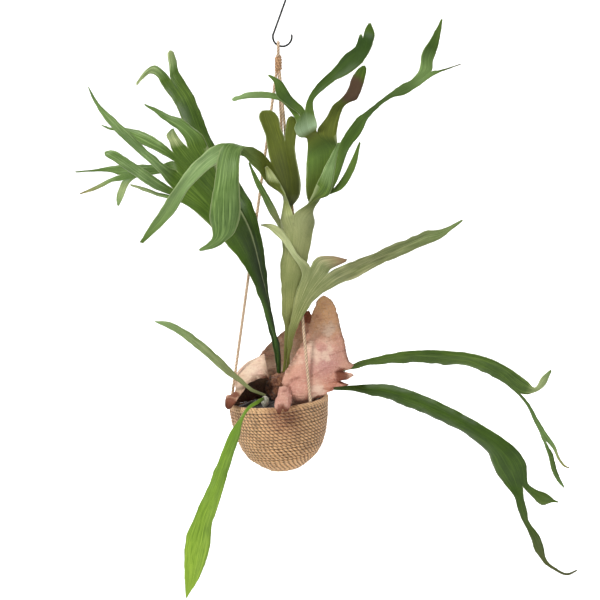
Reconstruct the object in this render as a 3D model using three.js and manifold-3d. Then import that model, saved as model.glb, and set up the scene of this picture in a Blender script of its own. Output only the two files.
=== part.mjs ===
// A staghorn fern (Platycerium) in a coiled jute basket, hanging on three cords
// from an S-hook. Millimetres, +Z up, -Y is the side the fronds face.
// The origin is the inside of the hook's upper bend, the point that it hangs from.
import * as THREE from 'three';
import { mergeVertices } from 'three/addons/utils/BufferGeometryUtils.js';
import Module from 'manifold-3d';

const wasm = await Module();
wasm.setup();

// ---- driving dimensions -------------------------------------------------

const GAP = 0.3; // left between pieces that touch

const HOOK_WIRE = 3;
const HOOK_BEND_RADIUS = 14; // to the middle of the wire
const HOOK_BEND_SPACING = 64; // from the centre of one bend to the other
const HOOK_LEAN = 6; // the lower bend lies this far to the right

const CORD_DIAMETER = 4.5;
const KNOT_TOP = -104;
const KNOT_BOTTOM = -128;
const KNOT_RADIUS = 5.2;

const RIM_CENTRE = new THREE.Vector3(-1, 0, -617.5);
const BASKET_TILT = THREE.MathUtils.degToRad(-4.7); // the right side of the rim is higher
const RIM_RADIUS = 75.7;
const BASKET_DEPTH = 109;
const ROPE_DIAMETER = 6.5; // the jute rope that the basket is coiled from
const CORD_ANGLES = { right: -48, back: 72, left: 192 }; // degrees round the rim

const FROND_THICKNESS = 1.2;
const SHIELD_THICKNESS = 2;
const LOBE_COLUMNS = 2; // faces across the width of each tip lobe
const ROW_LENGTH = 36; // longest step along a blade

// ---- materials ----------------------------------------------------------

const material = (color, roughness, metalness = 0) =>
  new THREE.MeshStandardMaterial({ color, roughness, metalness });
const STEEL = material(0x5c5c5c, 0.35, 1);
const CORD_JUTE = material(0xc9ab86, 0.9);
const BASKET_JUTE = material(0xc29a6e, 0.9);
const MOSS = material(0x2b1c12, 1);
const RHIZOME_FUR = material(0x6b4a2a, 1);
const GREEN = material(0x4f7d35, 0.5);
const DARK_GREEN = material(0x2f5a2c, 0.5);
const OLIVE = material(0x84905c, 0.6);
const YOUNG_GREEN = material(0x86a83a, 0.5);
const SHIELD_BROWN = material(0xcfa58e, 0.8);
const BUD_WHITE = material(0xd9d2c0, 0.9);

// ---- solids -------------------------------------------------------------

function toSolid(geometry) {
  const bare = geometry.clone();
  bare.deleteAttribute('normal');
  bare.deleteAttribute('uv');
  const merged = mergeVertices(bare, 1e-4);
  const vertProperties = new Float32Array(merged.attributes.position.array);
  const triVerts = new Uint32Array(merged.index.array);
  return new wasm.Manifold(new wasm.Mesh({ numProp: 3, vertProperties, triVerts }));
}

function toGeometry(solid) {
  const { vertProperties, triVerts } = solid.getMesh();
  const geometry = new THREE.BufferGeometry();
  geometry.setAttribute('position', new THREE.BufferAttribute(vertProperties, 3));
  geometry.setIndex(new THREE.BufferAttribute(triVerts, 1));
  geometry.computeVertexNormals();
  return geometry;
}

// The geometry with the cutters' volume taken away, its largest piece only.
function cut(geometry, ...cutters) {
  let solid = toSolid(geometry);
  for (const cutter of cutters) {
    solid = solid.subtract(toSolid(cutter));
  }
  const pieces = solid.decompose().sort((a, b) => b.volume() - a.volume());
  return toGeometry(pieces[0]);
}

function mesh(name, geometry, look) {
  const piece = new THREE.Mesh(geometry, look);
  piece.name = name;
  return piece;
}

function tube(points, diameter, steps, sides = 8) {
  const section = new THREE.Shape();
  for (let side = 0; side < sides; side += 1) {
    const turn = (2 * Math.PI * side) / sides;
    const x = (diameter / 2) * Math.cos(turn);
    const y = (diameter / 2) * Math.sin(turn);
    if (side === 0) section.moveTo(x, y);
    else section.lineTo(x, y);
  }
  const extrudePath = new THREE.CatmullRomCurve3(points, false, 'centripetal');
  return new THREE.ExtrudeGeometry(section, { steps, extrudePath, bevelEnabled: false });
}

// ---- blades -------------------------------------------------------------
// A blade is one leaf sheet that forks. A lobe is a list of ribs from its base
// to its tip, and the lobes that it forks into, from left to right. A rib is
// [left edge, right edge, bow]: where the two edges of the blade are, seen from
// the front with the tip up, and how far its middle bows toward the front.
// The first ribs of a lobe's forks together make its last rib.

function lobe(ribs, forks = []) {
  return { ribs, forks };
}

const columnsOf = ({ forks }) =>
  forks.length === 0 ? LOBE_COLUMNS : forks.reduce((sum, fork) => sum + columnsOf(fork), 0);

const middle = (row) => row[0].clone().lerp(row[row.length - 1], 0.5);

// The points across one rib, at the given shares of its width.
function ribRow([left, right, bow], along, shares) {
  const start = new THREE.Vector3(...left);
  const across = new THREE.Vector3(...right).sub(start);
  const front = across.clone().cross(along).normalize();
  return shares.map((share) =>
    start
      .clone()
      .addScaledVector(across, share)
      .addScaledVector(front, 4 * bow * share * (1 - share)),
  );
}

const ribMiddle = ([left, right]) =>
  new THREE.Vector3(...left).lerp(new THREE.Vector3(...right), 0.5);

// Turns a lobe's ribs into rows of points, and its forks' too.
function layOut({ ribs, forks }, before = null) {
  const kids = forks.map((fork) => layOut(fork, ribMiddle(ribs[ribs.length - 1])));
  const forkRow = kids.flatMap((kid, i) => kid.rows[0].slice(i === 0 ? 0 : 1));
  const shares = [];
  if (kids.length > 0) {
    let length = 0;
    forkRow.forEach((point, i) => {
      if (i > 0) length += point.distanceTo(forkRow[i - 1]);
      shares.push(length);
    });
    shares.forEach((share, i) => {
      shares[i] = share / length;
    });
  } else {
    for (let i = 0; i <= LOBE_COLUMNS; i += 1) shares.push(i / LOBE_COLUMNS);
  }
  const centres = ribs.map(ribMiddle);
  if (kids.length > 0) centres.push(middle(forkRow));
  const rows = ribs.map((rib, i) => {
    const from = i > 0 ? centres[i - 1] : (before ?? centres[0]);
    const to = centres[Math.min(i + 1, centres.length - 1)];
    // even at the base, and as the forks take them at the fork
    const spread = shares.map((share, column) =>
      THREE.MathUtils.lerp(column / (shares.length - 1), share, i / ribs.length),
    );
    return ribRow(rib, to.clone().sub(from), spread);
  });
  if (kids.length > 0) rows.push(forkRow);
  return { rows, kids };
}

// The part of a row that one fork continues.
function slicesOf(kids) {
  let first = 0;
  return kids.map((kid) => {
    const slice = [first, first + kid.rows[0].length];
    first += kid.rows[0].length - 1;
    return slice;
  });
}

// A cubic through b and c that heads from a and to d.
function between(a, b, c, d, t) {
  const span = b.distanceTo(c);
  const slope = (p, q, r) => {
    const length = p.distanceTo(q) + q.distanceTo(r);
    return r.clone().sub(p).multiplyScalar(length > 0 ? span / length : 0);
  };
  const leave = slope(a, b, c);
  const arrive = slope(b, c, d);
  const t2 = t * t;
  const t3 = t2 * t;
  return new THREE.Vector3()
    .addScaledVector(b, 2 * t3 - 3 * t2 + 1)
    .addScaledVector(leave, t3 - 2 * t2 + t)
    .addScaledVector(c, 3 * t2 - 2 * t3)
    .addScaledVector(arrive, t3 - t2);
}

function bladeGeometry(blade, thickness) {
  const points = [];
  const faces = [];
  const addRow = (row) => row.map((point) => points.push(point) - 1);

  function grow({ rows, kids }, firstRow, rowBefore) {
    const slices = slicesOf(kids);
    // the row after the fork, where the forks' second rows meet at each notch
    const rowAfter = [];
    kids.forEach((kid, k) => {
      kid.rows[1].forEach((point, i) => {
        const at = slices[k][0] + i;
        rowAfter[at] = rowAfter[at] ? rowAfter[at].clone().lerp(point, 0.5) : point;
      });
    });
    const last = rows.length - 1;
    let lower = firstRow;
    for (let r = 0; r < last; r += 1) {
      const before = r > 0 ? rows[r - 1] : (rowBefore ?? rows[0]);
      const after = r + 2 <= last ? rows[r + 2] : kids.length > 0 ? rowAfter : rows[last];
      const steps = Math.max(1, Math.ceil(middle(rows[r]).distanceTo(middle(rows[r + 1])) / ROW_LENGTH));
      for (let s = 1; s <= steps; s += 1) {
        const row = rows[r].map((point, i) =>
          between(before[i], point, rows[r + 1][i], after[i], s / steps),
        );
        const upper = addRow(row);
        for (let i = 0; i + 1 < upper.length; i += 1) {
          faces.push([lower[i], lower[i + 1], upper[i + 1]]);
          faces.push([lower[i], upper[i + 1], upper[i]]);
        }
        lower = upper;
      }
    }
    kids.forEach((kid, k) => {
      const [from, to] = slices[k];
      grow(kid, lower.slice(from, to), rows[last - 1].slice(from, to));
    });
  }

  const layout = layOut(blade);
  grow(layout, addRow(layout.rows[0]), null);
  return thicken(points, faces, thickness);
}

// Gives a sheet its thickness: a front, a back and a rim round its free edges.
function thicken(points, faces, thickness) {
  const normals = points.map(() => new THREE.Vector3());
  for (const [a, b, c] of faces) {
    const edge = points[b].clone().sub(points[a]);
    const normal = edge.cross(points[c].clone().sub(points[a]));
    for (const corner of [a, b, c]) normals[corner].add(normal);
  }
  const count = points.length;
  const positions = [];
  for (const side of [0.5, -0.5]) {
    points.forEach((point, i) => {
      const moved = point.clone().addScaledVector(normals[i].normalize(), side * thickness);
      positions.push(moved.x, moved.y, moved.z);
    });
  }
  const edges = new Set();
  for (const [a, b, c] of faces) {
    for (const [from, to] of [[a, b], [b, c], [c, a]]) edges.add(`${from},${to}`);
  }
  const index = [];
  for (const [a, b, c] of faces) {
    index.push(a, b, c, a + count, c + count, b + count);
    for (const [from, to] of [[a, b], [b, c], [c, a]]) {
      if (edges.has(`${to},${from}`)) continue;
      index.push(to, from, from + count, to, from + count, to + count);
    }
  }
  const geometry = new THREE.BufferGeometry();
  geometry.setAttribute('position', new THREE.Float32BufferAttribute(positions, 3));
  geometry.setIndex(index);
  geometry.computeVertexNormals();
  return geometry;
}

// ---- the fronds' shapes, mm ---------------------------------------------

const FROND_REAR_LEFT = lobe([
  [[-2, 8, -585], [2, 8, -585], 0],
  [[-8, 0, -542], [-2, 2, -543], 1],
  [[-19, -6, -496], [-10, -4, -496], 1.5],
  [[-36, -16, -418], [-19, -12, -412], 2.5],
  [[-57, -16, -352], [-35, -9, -334], 3],
  [[-85, 8, -305], [-61, 19, -289], 3],
  [[-126, 39, -250], [-99, 51, -236], 3],
  [[-156, 74, -181], [-131, 89, -164], 3],
], [
  // left finger
  lobe([
    [[-179, 89, -149], [-165, 96, -142], 0],
    [[-185, 91, -138], [-176, 97, -128], 1],
    [[-195, 86, -133], [-189, 92, -120], 0],
    [[-204, 76, -139], [-203, 82, -128], 0],
    [[-215, 67, -151], [-216, 68, -146], 0],
  ]),
  // right finger
  lobe([
    [[-165, 96, -142], [-153, 103, -130], 0],
    [[-168, 102, -122], [-157, 110, -114], 1],
    [[-172, 106, -99], [-161, 111, -97], 1],
  ]),
]);

const FROND_LEFT = lobe([
  [[-1, 0, -585], [3, 0, -585], 0],
  [[-4, -8, -541], [2, -6, -541], 1],
  [[-17, -16, -494], [-8, -13, -498], 2],
  [[-47, -32, -419], [-27, -24, -414], -4],
  [[-83, -38, -372], [-42, -26, -357], -5],
  [[-115, -38, -338], [-69, -20, -307], -4],
], [
  // lowest finger
  lobe([
    [[-142, -34, -319], [-158, -34, -308], 0],
    [[-179, -35, -308], [-180, -36, -302], 0],
    [[-196, -36, -302], [-195, -36, -296], 0],
    [[-217, -38, -293], [-218, -39, -290], 0],
  ]),
  // lower long finger
  lobe([
    [[-158, -34, -308], [-155, -32, -298], 0],
    [[-182, -46, -297], [-175, -42, -283], 1.5],
    [[-209, -60, -277], [-198, -55, -266], 2],
    [[-234, -69, -258], [-221, -64, -250], 2],
    [[-249, -71, -248], [-237, -68, -240], 1.5],
    [[-254, -69, -244], [-249, -67, -238], 0],
  ]),
  // upper long finger
  lobe([
    [[-155, -32, -298], [-149, -20, -273], 0],
    [[-171, -37, -278], [-161, -30, -267], 1],
    [[-186, -46, -261], [-178, -41, -253], 1.5],
    [[-208, -56, -240], [-199, -53, -232], 1.5],
    [[-236, -68, -211], [-225, -65, -204], 1.5],
    [[-257, -74, -184], [-249, -71, -181], 1],
    [[-269, -75, -161], [-263, -74, -163], 0],
    [[-274, -73, -148], [-273, -72, -147], 0],
  ]),
  // middle lobe, folded back
  lobe([
    [[-149, -20, -273], [-153, -12, -260], 0],
    [[-171, -8, -277], [-174, -5, -264], 0],
    [[-192, 0, -281], [-196, 3, -265], 1],
  ], [
    // hanging finger
    lobe([
      [[-208, 5, -283], [-232, 10, -289], 0],
      [[-222, 6, -293], [-236, 9, -296], 0.5],
      [[-231, 4, -313], [-242, 6, -314], 0.5],
      [[-238, 3, -327], [-241, 4, -326], 0],
    ]),
    // outer finger
    lobe([
      [[-232, 10, -289], [-237, 11, -281], 0],
      [[-249, 15, -292], [-251, 16, -286], 0],
      [[-270, 22, -303], [-272, 22, -297], 0],
      [[-299, 29, -312], [-299, 29, -310], 0],
    ]),
    // rising finger
    lobe([
      [[-237, 11, -281], [-226, 11, -265], 0],
      [[-249, 15, -278], [-249, 15, -268], 0.5],
      [[-272, 22, -277], [-274, 22, -273], 0],
      [[-305, 30, -279], [-306, 31, -277], 0],
    ]),
  ]),
  // straight finger
  lobe([
    [[-153, -12, -260], [-156, -12, -245], 0],
    [[-180, 0, -246], [-177, 1, -229], 1],
    [[-208, 9, -233], [-203, 10, -216], 1],
    [[-232, 18, -218], [-229, 18, -211], 0.5],
    [[-251, 24, -215], [-250, 24, -211], 0],
    [[-265, 27, -209], [-265, 27, -207], 0],
  ]),
  // short finger
  lobe([
    [[-156, -12, -245], [-134, -16, -238], 0],
    [[-160, -12, -233], [-142, -14, -230], 1],
    [[-165, -9, -221], [-149, -12, -221], 1],
    [[-158, -8, -212], [-155, -8, -210], 0],
  ]),
  // top finger
  lobe([
    [[-134, -16, -238], [-102, -14, -241], 0],
    [[-137, -14, -229], [-112, -12, -221], 2],
    [[-146, -12, -215], [-129, -10, -207], 2.5],
    [[-157, -8, -207], [-145, -8, -196], 2],
    [[-169, -4, -199], [-161, -6, -191], 1],
    [[-184, 1, -187], [-179, 0, -182], 0],
    [[-199, 4, -177], [-198, 3, -175], 0],
  ]),
]);

const FROND_CENTER = lobe([
  [[5, 0, -584], [9, 0, -584], 0],
  [[8, -6, -546], [14, -6, -546], 1],
  [[9, -16, -511], [22, -15, -508], 4],
  [[5, -34, -471], [32, -47, -466], 5],
  [[4, -38, -418], [41, -47, -414], 9],
  [[5, -38, -372], [51, -40, -364], 12],
], [
  // thin lobe
  lobe([
    [[-3, -27, -350], [4, -30, -346], 0],
    [[-14, -30, -331], [-5, -32, -325], 1],
    [[-26, -32, -308], [-17, -34, -303], 1],
    [[-37, -34, -282], [-31, -35, -279], 0],
    [[-44, -34, -260], [-42, -34, -258], 0],
  ]),
  // left flank
  lobe([
    [[4, -30, -346], [22, -52, -336], 8],
    [[32, -36, -305], [14, -54, -311], 20],
  ], [
    // second finger
    lobe([
      [[25, -34, -238], [10, -32, -225], 0],
      [[28, -30, -205], [12, -28, -199], 1],
      [[25, -30, -193], [16, -30, -190], 0],
    ]),
    // centre finger
    lobe([
      [[10, -32, -225], [-11, -36, -259], 2],
      [[4, -32, -207], [-21, -34, -213], 5],
      [[2, -30, -182], [-37, -36, -183], 6],
    ]),
    // arch
    lobe([
      [[-11, -36, -259], [-16, -48, -289], 0],
      [[-33, -60, -236], [-31, -64, -268], 0],
    ], [
      // wide lobe
      lobe([
        [[-51, -90, -237], [-77, -94, -227], 0],
        [[-55, -110, -269], [-93, -106, -296], 3],
        [[-54, -104, -330], [-99, -101, -335], 5],
        [[-62, -99, -355], [-95, -98, -351], 4],
        [[-74, -98, -367], [-94, -99, -362], 2],
        [[-90, -98, -378], [-102, -100, -371], 0],
        [[-113, -100, -383], [-114, -100, -380], 0],
      ]),
      // long lobe
      lobe([
        [[-77, -94, -227], [-52, -84, -246], 0],
        [[-107, -110, -242], [-86, -104, -255], 3],
        [[-145, -120, -286], [-125, -114, -289], 3],
        [[-173, -124, -329], [-150, -120, -328], 2],
        [[-198, -124, -367], [-193, -124, -369], 0],
      ]),
    ]),
    // pale fold
    lobe([
      [[-16, -48, -289], [7, -54, -296], 0],
      [[-18, -50, -275], [-5, -54, -276], 0],
      [[-19, -50, -265], [-16, -52, -263], 0],
    ]),
  ]),
  // right flank
  lobe([
    [[22, -52, -336], [54, -28, -345], 8],
    [[45, -54, -315], [41, -36, -305], 20],
  ], [
    // pale blade
    lobe([
      [[56, -56, -290], [75, -52, -305], 0],
      [[70, -56, -260], [84, -52, -260], 0],
      [[81, -52, -240], [87, -50, -244], 0],
      [[87, -48, -229], [90, -48, -229], 0],
    ]),
    // narrow lobe
    lobe([
      [[75, -52, -305], [81, -40, -297], 0],
      [[96, -40, -296], [95, -36, -279], 0],
      [[114, -30, -265], [110, -28, -249], 0],
      [[121, -24, -231], [119, -24, -229], 0],
    ]),
    // outer lobe
    lobe([
      [[81, -40, -297], [87, -30, -238], 0],
      [[105, -29, -239], [98, -25, -219], 1],
      [[122, -15, -218], [113, -14, -198], 1],
      [[134, -4, -195], [128, -5, -187], 0],
      [[162, 7, -170], [157, 6, -165], 0],
      [[188, 15, -161], [182, 18, -148], 2],
      [[207, 23, -151], [199, 25, -139], 2],
    ], [
      // right tine
      lobe([
        [[225, 29, -138], [228, 32, -128], 0],
        [[240, 35, -130], [240, 35, -126], 0],
        [[274, 48, -118], [273, 48, -117], 0],
      ]),
      // top tine
      lobe([
        [[228, 32, -128], [210, 28, -124], 0],
        [[231, 33, -112], [213, 29, -100], 2],
        [[239, 37, -88], [226, 35, -80], 1],
        [[245, 41, -51], [243, 40, -50], 0],
      ]),
    ]),
    // back flank
    lobe([
      [[87, -30, -238], [41, -34, -268], 0],
    ], [
      // brown lobe
      lobe([
        [[86, -28, -223], [57, -27, -215], 0],
        [[89, -21, -200], [69, -24, -196], 2],
        [[98, -13, -177], [80, -17, -177], 2],
        [[116, -7, -168], [99, -8, -159], 2],
        [[127, 4, -142], [109, 3, -136], 1],
        [[132, 12, -118], [121, 10, -119], 0],
      ]),
      // mint curl
      lobe([
        [[57, -28, -215], [42, -26, -225], 0],
        [[57, -36, -207], [30, -34, -222], 2],
        [[56, -41, -197], [24, -42, -209], 3],
      ], [
        // long top lobe
        lobe([
          [[53, -44, -188], [39, -48, -182], 0],
          [[52, -46, -168], [45, -46, -162], 0],
          [[66, -44, -153], [60, -42, -141], 1],
          [[87, -49, -138], [80, -46, -122], 2],
          [[108, -53, -126], [96, -48, -102], 3],
          [[129, -58, -105], [112, -51, -90], 2],
        ], [
          // top right tine
          lobe([
            [[138, -62, -83], [123, -56, -77], 0],
            [[140, -60, -71], [126, -55, -65], 1],
            [[134, -58, -56], [131, -57, -56], 0],
          ]),
          // top left tine
          lobe([
            [[123, -56, -77], [115, -52, -83], 0],
            [[121, -53, -72], [118, -52, -73], 0],
          ]),
        ]),
        // dark curl
        lobe([
          [[39, -48, -182], [32, -50, -190], 0],
          [[19, -56, -161], [16, -56, -176], -1],
          [[13, -58, -151], [-2, -58, -161], -1],
          [[4, -56, -138], [-6, -56, -142], -1],
          [[-13, -54, -130], [-15, -54, -132], 0],
        ]),
        // side tine
        lobe([
          [[32, -50, -190], [26, -48, -196], 0],
          [[2, -40, -160], [2, -38, -169], 0],
          [[-24, -40, -155], [-24, -38, -165], 0],
          [[-47, -38, -157], [-45, -38, -166], -1],
          [[-56, -38, -161], [-58, -38, -168], 0],
          [[-67, -36, -163], [-68, -36, -171], 0],
        ]),
      ]),
    ]),
  ]),
]);

const FROND_LOWER_RIGHT = lobe([
  [[10, -9, -584], [14, -9, -584], 0],
  [[13, -20, -541], [19, -19, -541], 1],
  [[17, -42, -495], [31, -47, -496], 2],
  [[26, -56, -448], [57, -55, -457], 3],
], [
  // pale ribbon
  lobe([
    [[35, -56, -421], [47, -56, -412], 0],
    [[21, -64, -395], [30, -64, -393], 0],
    [[6, -68, -372], [16, -68, -369], 0],
    [[-5, -70, -361], [2, -72, -351], 0],
    [[-15, -66, -353], [-12, -66, -346], 0],
    [[-25, -62, -350], [-26, -62, -348], 0],
  ]),
  // brown-edged lobe
  lobe([
    [[47, -56, -412], [72, -50, -422], 0],
    [[57, -62, -396], [78, -58, -413], 2],
    [[81, -64, -394], [87, -62, -408], 2],
    [[101, -62, -399], [99, -62, -403], 0],
  ]),
  // main lobe
  lobe([
    [[72, -50, -422], [93, -40, -437], 0],
    [[100, -50, -407], [113, -44, -430], -5],
    [[140, -58, -391], [150, -51, -408], -6],
    [[174, -64, -375], [185, -58, -393], -6],
    [[195, -67, -366], [208, -63, -381], -4],
    [[215, -71, -357], [224, -68, -374], -3],
    [[230, -74, -355], [238, -73, -367], -1],
    [[245, -76, -351], [251, -78, -355], -1],
    [[267, -83, -338], [268, -84, -340], 0],
  ]),
]);

const FROND_RIGHT_UPPER = lobe([
  [[27, 10, -590], [27, 10, -596], 0],
  [[56, 24, -585], [56, 24, -590], 0],
  [[85, 32, -582], [85, 32, -587], 0],
  [[111, 32, -572], [111, 32, -579], 1],
  [[138, 37, -563], [139, 37, -574], 2],
  [[203, 50, -553], [200, 51, -572], 4],
  [[262, 59, -555], [253, 60, -577], 5],
  [[309, 65, -563], [298, 69, -583], 5],
  [[349, 68, -580], [332, 73, -600], 4],
], [
  // finger
  lobe([
    [[382, 77, -604], [374, 79, -626], 0],
    [[396, 77, -616], [398, 80, -624], 0],
    [[406, 78, -599], [413, 80, -612], 1],
    [[420, 80, -588], [422, 81, -591], 0],
  ]),
  // tail
  lobe([
    [[374, 79, -626], [364, 80, -622], 0],
    [[390, 86, -645], [385, 86, -647], 0],
    [[403, 91, -668], [397, 92, -673], 0],
  ], [
    // upper tine
    lobe([
      [[416, 93, -689], [415, 95, -702], 0],
      [[431, 93, -711], [427, 94, -716], 0],
      [[438, 93, -729], [435, 92, -733], 0],
      [[447, 94, -742], [445, 93, -745], 0],
      [[454, 94, -746], [454, 94, -748], 0],
    ]),
    // lower tine
    lobe([
      [[415, 95, -702], [411, 98, -701], 0],
      [[429, 105, -727], [422, 103, -732], 1],
      [[435, 108, -747], [427, 106, -752], 1],
      [[443, 108, -769], [437, 107, -771], 0],
      [[449, 108, -781], [448, 108, -783], 0],
    ]),
  ]),
]);

const FROND_RIGHT_LOWER = lobe([
  [[24, 4, -597], [24, 4, -602], 0],
  [[56, 16, -597], [56, 16, -604], 0],
  [[88, 18, -602], [88, 18, -609], 0],
  [[118, 15, -600], [117, 15, -611], 1.5],
  [[167, -5, -596], [158, 0, -618], 4],
  [[216, -25, -608], [204, -17, -632], 5],
  [[266, -47, -628], [247, -34, -648], 6],
  [[313, -69, -652], [285, -51, -666], 6],
  [[348, -83, -675], [310, -60, -686], 6],
  [[365, -86, -699], [319, -63, -710], 4],
], [
  // side lobe
  lobe([
    [[369, -82, -730], [362, -77, -737], 0],
    [[383, -82, -740], [375, -79, -750], 1],
    [[397, -84, -745], [390, -82, -763], 2],
    [[407, -85, -753], [404, -84, -758], 0],
    [[414, -87, -756], [414, -87, -758], 0],
  ]),
  // tail
  lobe([
    [[362, -77, -737], [333, -65, -732], 0],
    [[364, -76, -754], [349, -71, -752], 1],
    [[369, -76, -772], [356, -72, -775], 1],
    [[373, -75, -791], [365, -72, -795], 0],
    [[387, -79, -809], [375, -75, -815], 2],
    [[394, -79, -827], [383, -76, -835], 1],
    [[399, -80, -847], [394, -79, -851], 0],
    [[413, -87, -858], [411, -86, -862], 0],
    [[427, -93, -863], [427, -93, -867], 0],
    [[441, -99, -856], [442, -99, -858], 0],
  ]),
]);

const FROND_YOUNG_UP = lobe([
  [[-20, -28, -610], [-18, -28, -607], 0],
  [[-41, -38, -600], [-38, -38, -596], 0],
  [[-60, -46, -584], [-56, -46, -578], 0.5],
  [[-78, -59, -570], [-71, -56, -561], 1],
  [[-106, -77, -541], [-97, -73, -532], 1.5],
  [[-135, -93, -513], [-127, -90, -504], 1.5],
  [[-159, -103, -495], [-155, -101, -487], 1],
  [[-178, -109, -485], [-178, -109, -483], 0],
]);

const FROND_YOUNG_DOWN = lobe([
  [[-20, -34, -613], [-22, -34, -609], 0],
  [[-30, -66, -614], [-33, -66, -609], 0],
  [[-42, -80, -619], [-45, -80, -615], 0],
  [[-52, -88, -635], [-57, -88, -631], 0.5],
  [[-57, -90, -660], [-72, -90, -654], 1.5],
  [[-69, -92, -697], [-89, -92, -696], 3],
  [[-84, -104, -746], [-109, -103, -744], 3.5],
  [[-96, -110, -783], [-124, -108, -776], 3.5],
  [[-100, -115, -818], [-136, -113, -808], 3.5],
  [[-110, -118, -852], [-138, -117, -846], 3],
  [[-121, -120, -871], [-137, -121, -875], 1],
  [[-134, -123, -893], [-136, -123, -892], 0],
]);

const SHIELD_FROND_RIGHT = lobe([
  [[22, -38, -627], [51, -30, -624], 2],
  [[17, -44, -612], [56, -33, -613], 3],
  [[14, -46, -603], [78, -34, -600], 6],
  [[5, -44, -583], [98, -26, -593], 9],
  [[17, -32, -560], [108, -18, -573], 11],
  [[32, -20, -535], [103, -12, -548], 11],
  [[45, -8, -509], [95, -6, -517], 8],
  [[53, 4, -482], [86, 4, -482], 5],
  [[62, 10, -463], [74, 10, -463], 1],
]);

const SHIELD_FROND_FRONT = lobe([
  [[16, -46, -627], [4, -44, -627], 2],
  [[19, -64, -596], [2, -60, -591], 4],
  [[19, -72, -601], [-2, -70, -600], 5],
  [[19, -84, -607], [-5, -84, -607], 5],
], [
  // right end
  lobe([
    [[17, -88, -613], [7, -90, -614], 2],
    [[14, -88, -620], [9, -88, -621], 0],
  ]),
  // left end
  lobe([
    [[7, -90, -614], [-5, -88, -613], 2],
    [[4, -88, -623], [-1, -88, -624], 0],
  ]),
]);

const SHIELD_FROND_LEFT = lobe([
  [[-14, -16, -588], [-13, 30, -620], 58],
  [[-20, -27, -583], [-23, 37, -625], 52],
  [[-30, -31, -584], [-36, 35, -626], 45],
  [[-41, -34, -588], [-47, 24, -627], 34],
  [[-49, -38, -595], [-55, 2, -625], 17],
  [[-56, -47, -605], [-66, -25, -616], 10],
  [[-62, -58, -611], [-76, -38, -608], 4],
], [
  // curled tip
  lobe([
    [[-65, -64, -614], [-79, -56, -611], 2],
    [[-70, -69, -621], [-79, -66, -621], 0],
  ]),
]);

const SHIELD_FROND_BACK = lobe([
  [[-32, 42, -630], [50, 37, -629], -12],
  [[-34, 44, -617], [53, 38, -614], -13],
  [[-40, 47, -597], [64, 41, -594], -14],
  [[-40, 48, -580], [67, 42, -577], -14],
  [[-26, 46, -555], [61, 40, -554], -12],
  [[1, 44, -528], [55, 38, -524], -8],
  [[26, 42, -505], [50, 38, -503], -4],
  [[40, 40, -491], [46, 40, -491], 0],
]);

// ---- hook and cords -----------------------------------------------------

const upperBend = new THREE.Vector3(0, 0, HOOK_WIRE / 2 - HOOK_BEND_RADIUS);
const lowerBend = new THREE.Vector3(HOOK_LEAN, 0, upperBend.z - HOOK_BEND_SPACING);

function arc(centre, fromDegrees, toDegrees) {
  const points = [];
  const steps = Math.round(Math.abs(toDegrees - fromDegrees) / 22.5);
  for (let i = 0; i <= steps; i += 1) {
    const turn = THREE.MathUtils.degToRad(fromDegrees + ((toDegrees - fromDegrees) * i) / steps);
    const arm = new THREE.Vector3(Math.cos(turn), 0, Math.sin(turn));
    points.push(centre.clone().addScaledVector(arm, HOOK_BEND_RADIUS));
  }
  return points;
}

// An S of round wire: two open bends, joined by a slanting shank.
function hookGeometry() {
  const points = [...arc(upperBend, 200, -30), ...arc(lowerBend, 150, 375)];
  return tube(points, HOOK_WIRE, 56);
}

// The loop over the hook's lower bend, with both its ends in the top of the knot.
function loopGeometry() {
  const wireTop = lowerBend.z - Math.sqrt(HOOK_BEND_RADIUS ** 2 - HOOK_LEAN ** 2) + HOOK_WIRE / 2;
  const top = wireTop + CORD_DIAMETER / 2 + 3 * GAP;
  const side = (HOOK_WIRE + CORD_DIAMETER) / 2 + 2 * GAP;
  const foot = new THREE.Vector3(0, 0.58 * CORD_DIAMETER, KNOT_TOP + GAP);
  const half = [foot, new THREE.Vector3(0, side * 0.9, foot.z + 6)];
  half.push(new THREE.Vector3(0, side, top - 5.5), new THREE.Vector3(0, side * 0.8, top - 1.7));
  const other = half.map((point) => point.clone().setY(-point.y)).reverse();
  return tube([...half, new THREE.Vector3(0, 0, top), ...other], CORD_DIAMETER, 28);
}

// The cord wound round the strands, tapered at both ends.
function knotGeometry() {
  const height = KNOT_TOP - KNOT_BOTTOM;
  const profile = [
    [0, 0],
    [KNOT_RADIUS * 0.85, 0],
    [KNOT_RADIUS, height * 0.15],
    [KNOT_RADIUS, height * 0.8],
    [KNOT_RADIUS * 0.8, height],
    [0, height],
  ];
  return lathe(profile, 16).translate(0, 0, KNOT_BOTTOM);
}

function cordGeometry(degrees) {
  const turn = THREE.MathUtils.degToRad(degrees);
  const out = new THREE.Vector3(Math.cos(turn), Math.sin(turn), 0);
  const start = out.clone().multiplyScalar(0.6 * CORD_DIAMETER).setZ(KNOT_BOTTOM - 2 * GAP);
  const end = out.clone().multiplyScalar(RIM_RADIUS - ROPE_DIAMETER / 2);
  end.applyMatrix4(basket.matrix);
  end.z += 2.5 * GAP;
  return tube([start, start.clone().lerp(end, 0.5), end], CORD_DIAMETER, 8);
}

// ---- basket and root ball -----------------------------------------------

// Revolves a profile of [radius, height] about Z.
function lathe(profile, segments) {
  const points = profile.map(([radius, height]) => new THREE.Vector2(radius, height));
  return new THREE.LatheGeometry(points, segments).rotateX(Math.PI / 2);
}

const basket = new THREE.Group();
basket.position.copy(RIM_CENTRE);
basket.rotation.y = BASKET_TILT;
basket.updateMatrix();

// The basket's outside from the middle of its floor to the rim, as [radius, height].
const OUTSIDE = [
  [0, -BASKET_DEPTH],
  [22, -BASKET_DEPTH],
  [36, -101],
  [52.5, -88],
  [62, -73],
  [69, -54],
  [73, -33],
  [74.8, -14],
  [RIM_RADIUS, -ROPE_DIAMETER - GAP],
];

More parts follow.
